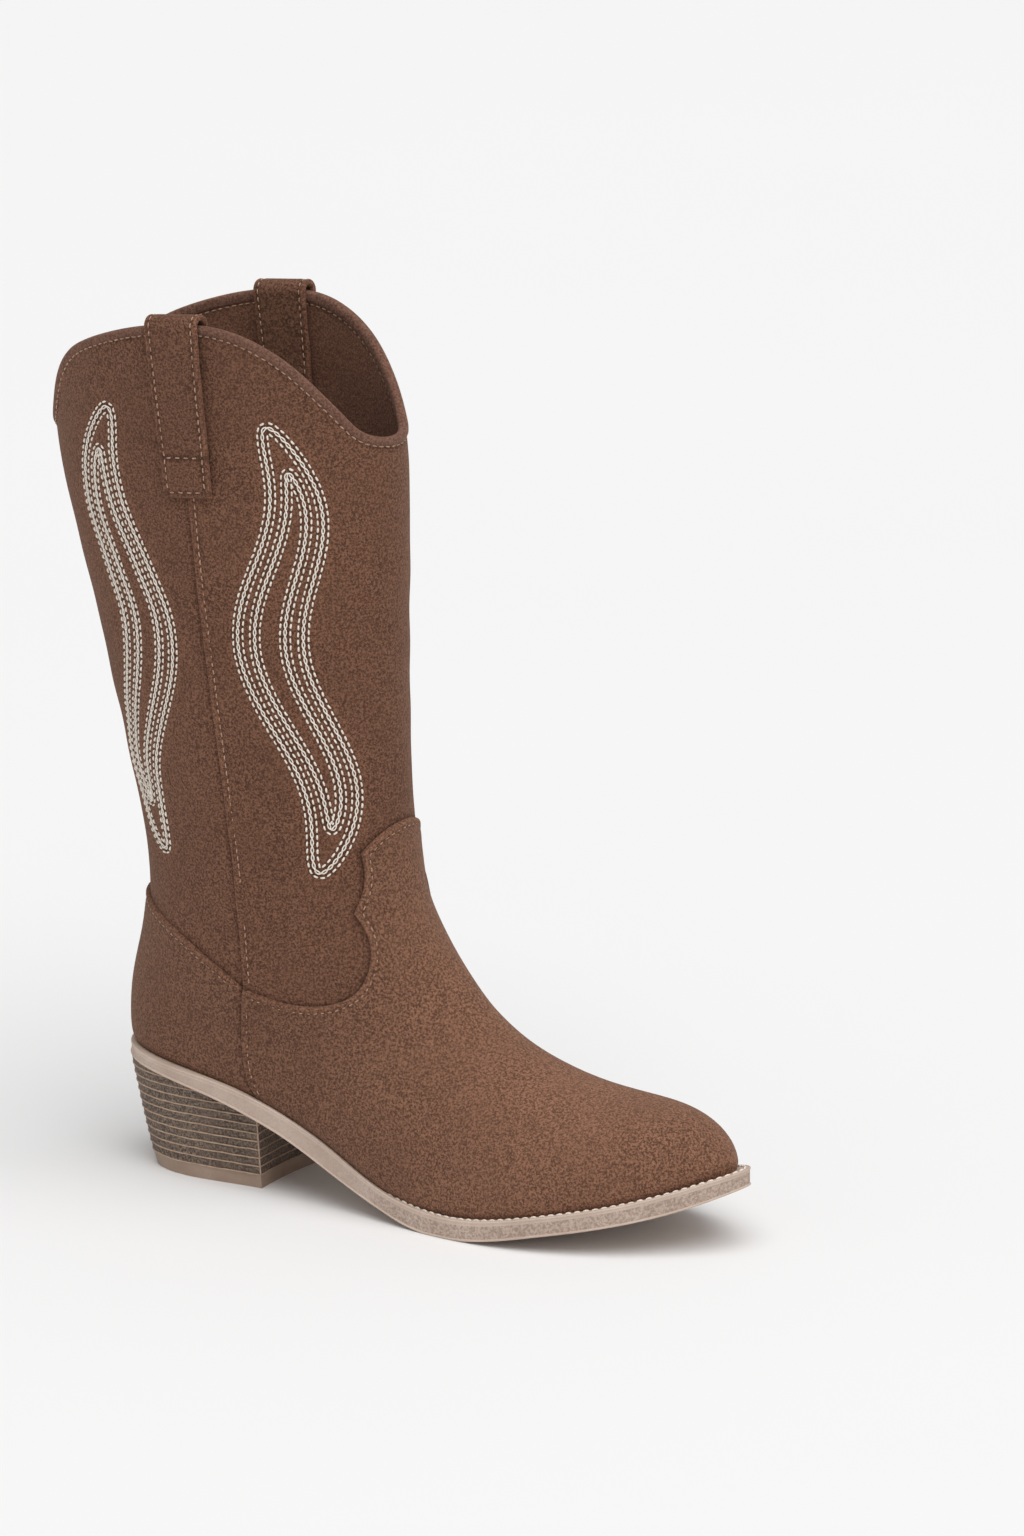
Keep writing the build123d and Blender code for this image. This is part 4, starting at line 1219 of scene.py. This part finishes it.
def heel_ring(z):
    """The heel's outline at a height, (x, y) in the row's frame: round part, then breast."""
    share = z / HEEL_SEAT_Z
    back = 9.6 - 10.1 * share ** 0.85
    half = 26.4 + 4.8 * share
    corner = half - 1.0
    length = HEEL_BREAST - back
    rim = [(HEEL_BREAST - 0.42 * length, half), (back + 0.23 * length, 0.9 * half),
           (back + 0.055 * length, 0.62 * half)]
    round_part = smooth_line([(HEEL_BREAST, -corner)] + [(x, -y) for x, y in rim] + [(back, 0)]
                             + rim[::-1] + [(HEEL_BREAST, corner)], 0.8)
    y = np.linspace(corner, -corner, 40)[1:-1]
    breast = np.column_stack([HEEL_BREAST - BREAST_HOLLOW * (1 - (y / corner) ** 2), y])
    return np.concatenate([round_part, breast]) - (HEEL_TO_ORIGIN, 0)


sole_rear = side(SOLE_REAR)
glue_paths = []
for number in range(LIFTS + 1):
    height = TOP_LIFT + number * LIFT
    ring = heel_ring(height)
    ring = np.concatenate([ring, ring[:1]])
    waver = 0.07 * wander(np.column_stack([ring, np.full(len(ring), height * 3)]), 9, 31)
    points = np.column_stack([ring, height + waver])
    run = unit(np.gradient(ring, axis=0))
    outward = np.column_stack([run[:, 1], -run[:, 0], np.zeros(len(ring))])
    free = height < height_at(sole_rear, ring[:, 0]) - 0.1
    breaks = np.flatnonzero(np.diff(np.concatenate([[0], free.astype(int), [0]])))
    for first, last in zip(breaks[::2], breaks[1::2]):
        if last - first > 3:
            glue_paths.append((points[first:last] - 0.06 * outward[first:last],
                               outward[first:last]))
for sign in (1, -1):
    heights = np.arange(TOP_LIFT, 31.0, 0.8)
    corner = 26.4 + 4.8 * heights / HEEL_SEAT_Z - 1.0
    x = np.full(len(heights), HEEL_BREAST - HEEL_TO_ORIGIN - 0.05)
    points = np.column_stack([x, sign * (corner + 0.02), heights])
    glue_paths.append((points, np.tile((0.7, sign * 0.7, 0.0), (len(heights), 1))))
glue_piece = joined_mesh("heel_glue_lines", *tubes(glue_paths, 0.3, 6))

# ---- looks of the sole, heel and inner layers ------------------------------------------------
sole_look = rubber("sole_rubber", srgb(186, 164, 149), srgb(204, 184, 170), srgb(150, 128, 114),
                   True)
welt_look = rubber("welt_rubber", srgb(198, 176, 160), srgb(214, 194, 179), srgb(176, 154, 139),
                   False)
top_lift_look = rubber("top_lift_rubber", srgb(160, 137, 120), srgb(172, 150, 133),
                       srgb(140, 119, 104), False)
stack_look = stacked("heel_stack")
glue_look = plain("glue_line", srgb(196, 170, 148), srgb(166, 140, 120), 400, 0.7)
LOOKS = {
    "outsole": sole_look,
    "welt": welt_look,
    "top_lift": top_lift_look,
    "toe_puff": board_look,
    "heel_stiffener": board_look,
    "vamp_interlining": felt_look,
    "insole_board": plain("insole_board", srgb(172, 134, 100), srgb(142, 108, 80), 260, 0.8),
    "forefoot_filler": plain("cork", srgb(188, 142, 96), srgb(120, 82, 52), 420, 0.85, 0.3),
    "sock_liner": plain("sock", srgb(150, 112, 88), srgb(124, 90, 70), 700, 0.85),
    "heel_pad": plain("foam", srgb(160, 124, 100), srgb(136, 102, 82), 600, 0.8),
    "shank": plain("steel", srgb(176, 178, 182), srgb(140, 142, 148), 90, 0.35, 0.02, 1.0),
}
LOOKS["waist_filler"] = LOOKS["forefoot_filler"]
LOOKS["heel_nails"] = LOOKS["shank"]
for number in range(LIFTS):
    LOOKS[f"heel_lift_{number + 1:02d}"] = stack_look
for node, look in LOOKS.items():
    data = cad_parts[node].data
    data.materials.clear()
    data.materials.append(look)
ridge_piece.data.materials.append(welt_look)
glue_piece.data.materials.append(glue_look)

# ---- floor, light and camera -----------------------------------------------------------------
FLOOR_HALF = 14.0
floor_mesh = bpy.data.meshes.new("studio_floor")
floor_mesh.from_pydata([(-FLOOR_HALF, -FLOOR_HALF, 0), (FLOOR_HALF, -FLOOR_HALF, 0),
                        (FLOOR_HALF, FLOOR_HALF, 0), (-FLOOR_HALF, FLOOR_HALF, 0)], [],
                       [(0, 1, 2, 3)])
floor = bpy.data.objects.new("studio_floor", floor_mesh)
bpy.context.scene.collection.objects.link(floor)
paper = Finish("studio_paper", 0.9, specular=0.1)
paper.colour(paper.mix(paper.ramp(paper.noise(2, 2), 0.3, 0.7), (0.9, 0.9, 0.9, 1),
                       (0.91, 0.91, 0.91, 1)))
floor_mesh.materials.append(paper.material)

BOOT_MIDDLE = Vector((0.05, 0.0, 0.16))


def softbox(name, place, size, power):
    """A square studio light aimed at the boot."""
    light = bpy.data.lights.new(name, "AREA")
    light.size = size
    light.energy = power
    lamp = bpy.data.objects.new(name, light)
    lamp.location = place
    lamp.rotation_euler = (BOOT_MIDDLE - Vector(place)).to_track_quat("-Z", "Y").to_euler()
    bpy.context.scene.collection.objects.link(lamp)


def overhead(name, tilt, spread, power):
    """Even soft light from above, leaning by `tilt` towards the boot's outer side and back."""
    light = bpy.data.lights.new(name, "SUN")
    light.angle = math.radians(spread)
    light.energy = power
    lamp = bpy.data.objects.new(name, light)
    lamp.rotation_euler = Vector(tilt).to_track_quat("Z", "Y").to_euler()
    bpy.context.scene.collection.objects.link(lamp)


overhead("overhead_key", (0.32, -0.22, 1.0), 60, 2.0)
softbox("front_light", (2.6, -1.6, 1.7), 1.8, 6)
world = bpy.data.worlds.new("studio_air")
world.use_nodes = True
world.node_tree.nodes["Background"].inputs["Color"].default_value = (1, 1, 1, 1)
world.node_tree.nodes["Background"].inputs["Strength"].default_value = 0.42
bpy.context.scene.world = world
bpy.context.scene.view_settings.view_transform = "Standard"

CAMERA_PLACE = Vector((2.23911, -3.38363, 1.22900))
CAMERA_AIM = Vector((0.12478, 0.0, 0.17482))
camera_data = bpy.data.cameras.new("camera")
camera_data.sensor_fit = "VERTICAL"
camera_data.sensor_height = 36.0
camera_data.lens = 256.6
camera = bpy.data.objects.new("camera", camera_data)
camera.location = CAMERA_PLACE
camera.rotation_euler = (CAMERA_AIM - CAMERA_PLACE).to_track_quat("-Z", "Y").to_euler()
bpy.context.scene.collection.objects.link(camera)
bpy.context.scene.camera = camera

bpy.context.view_layer.update()
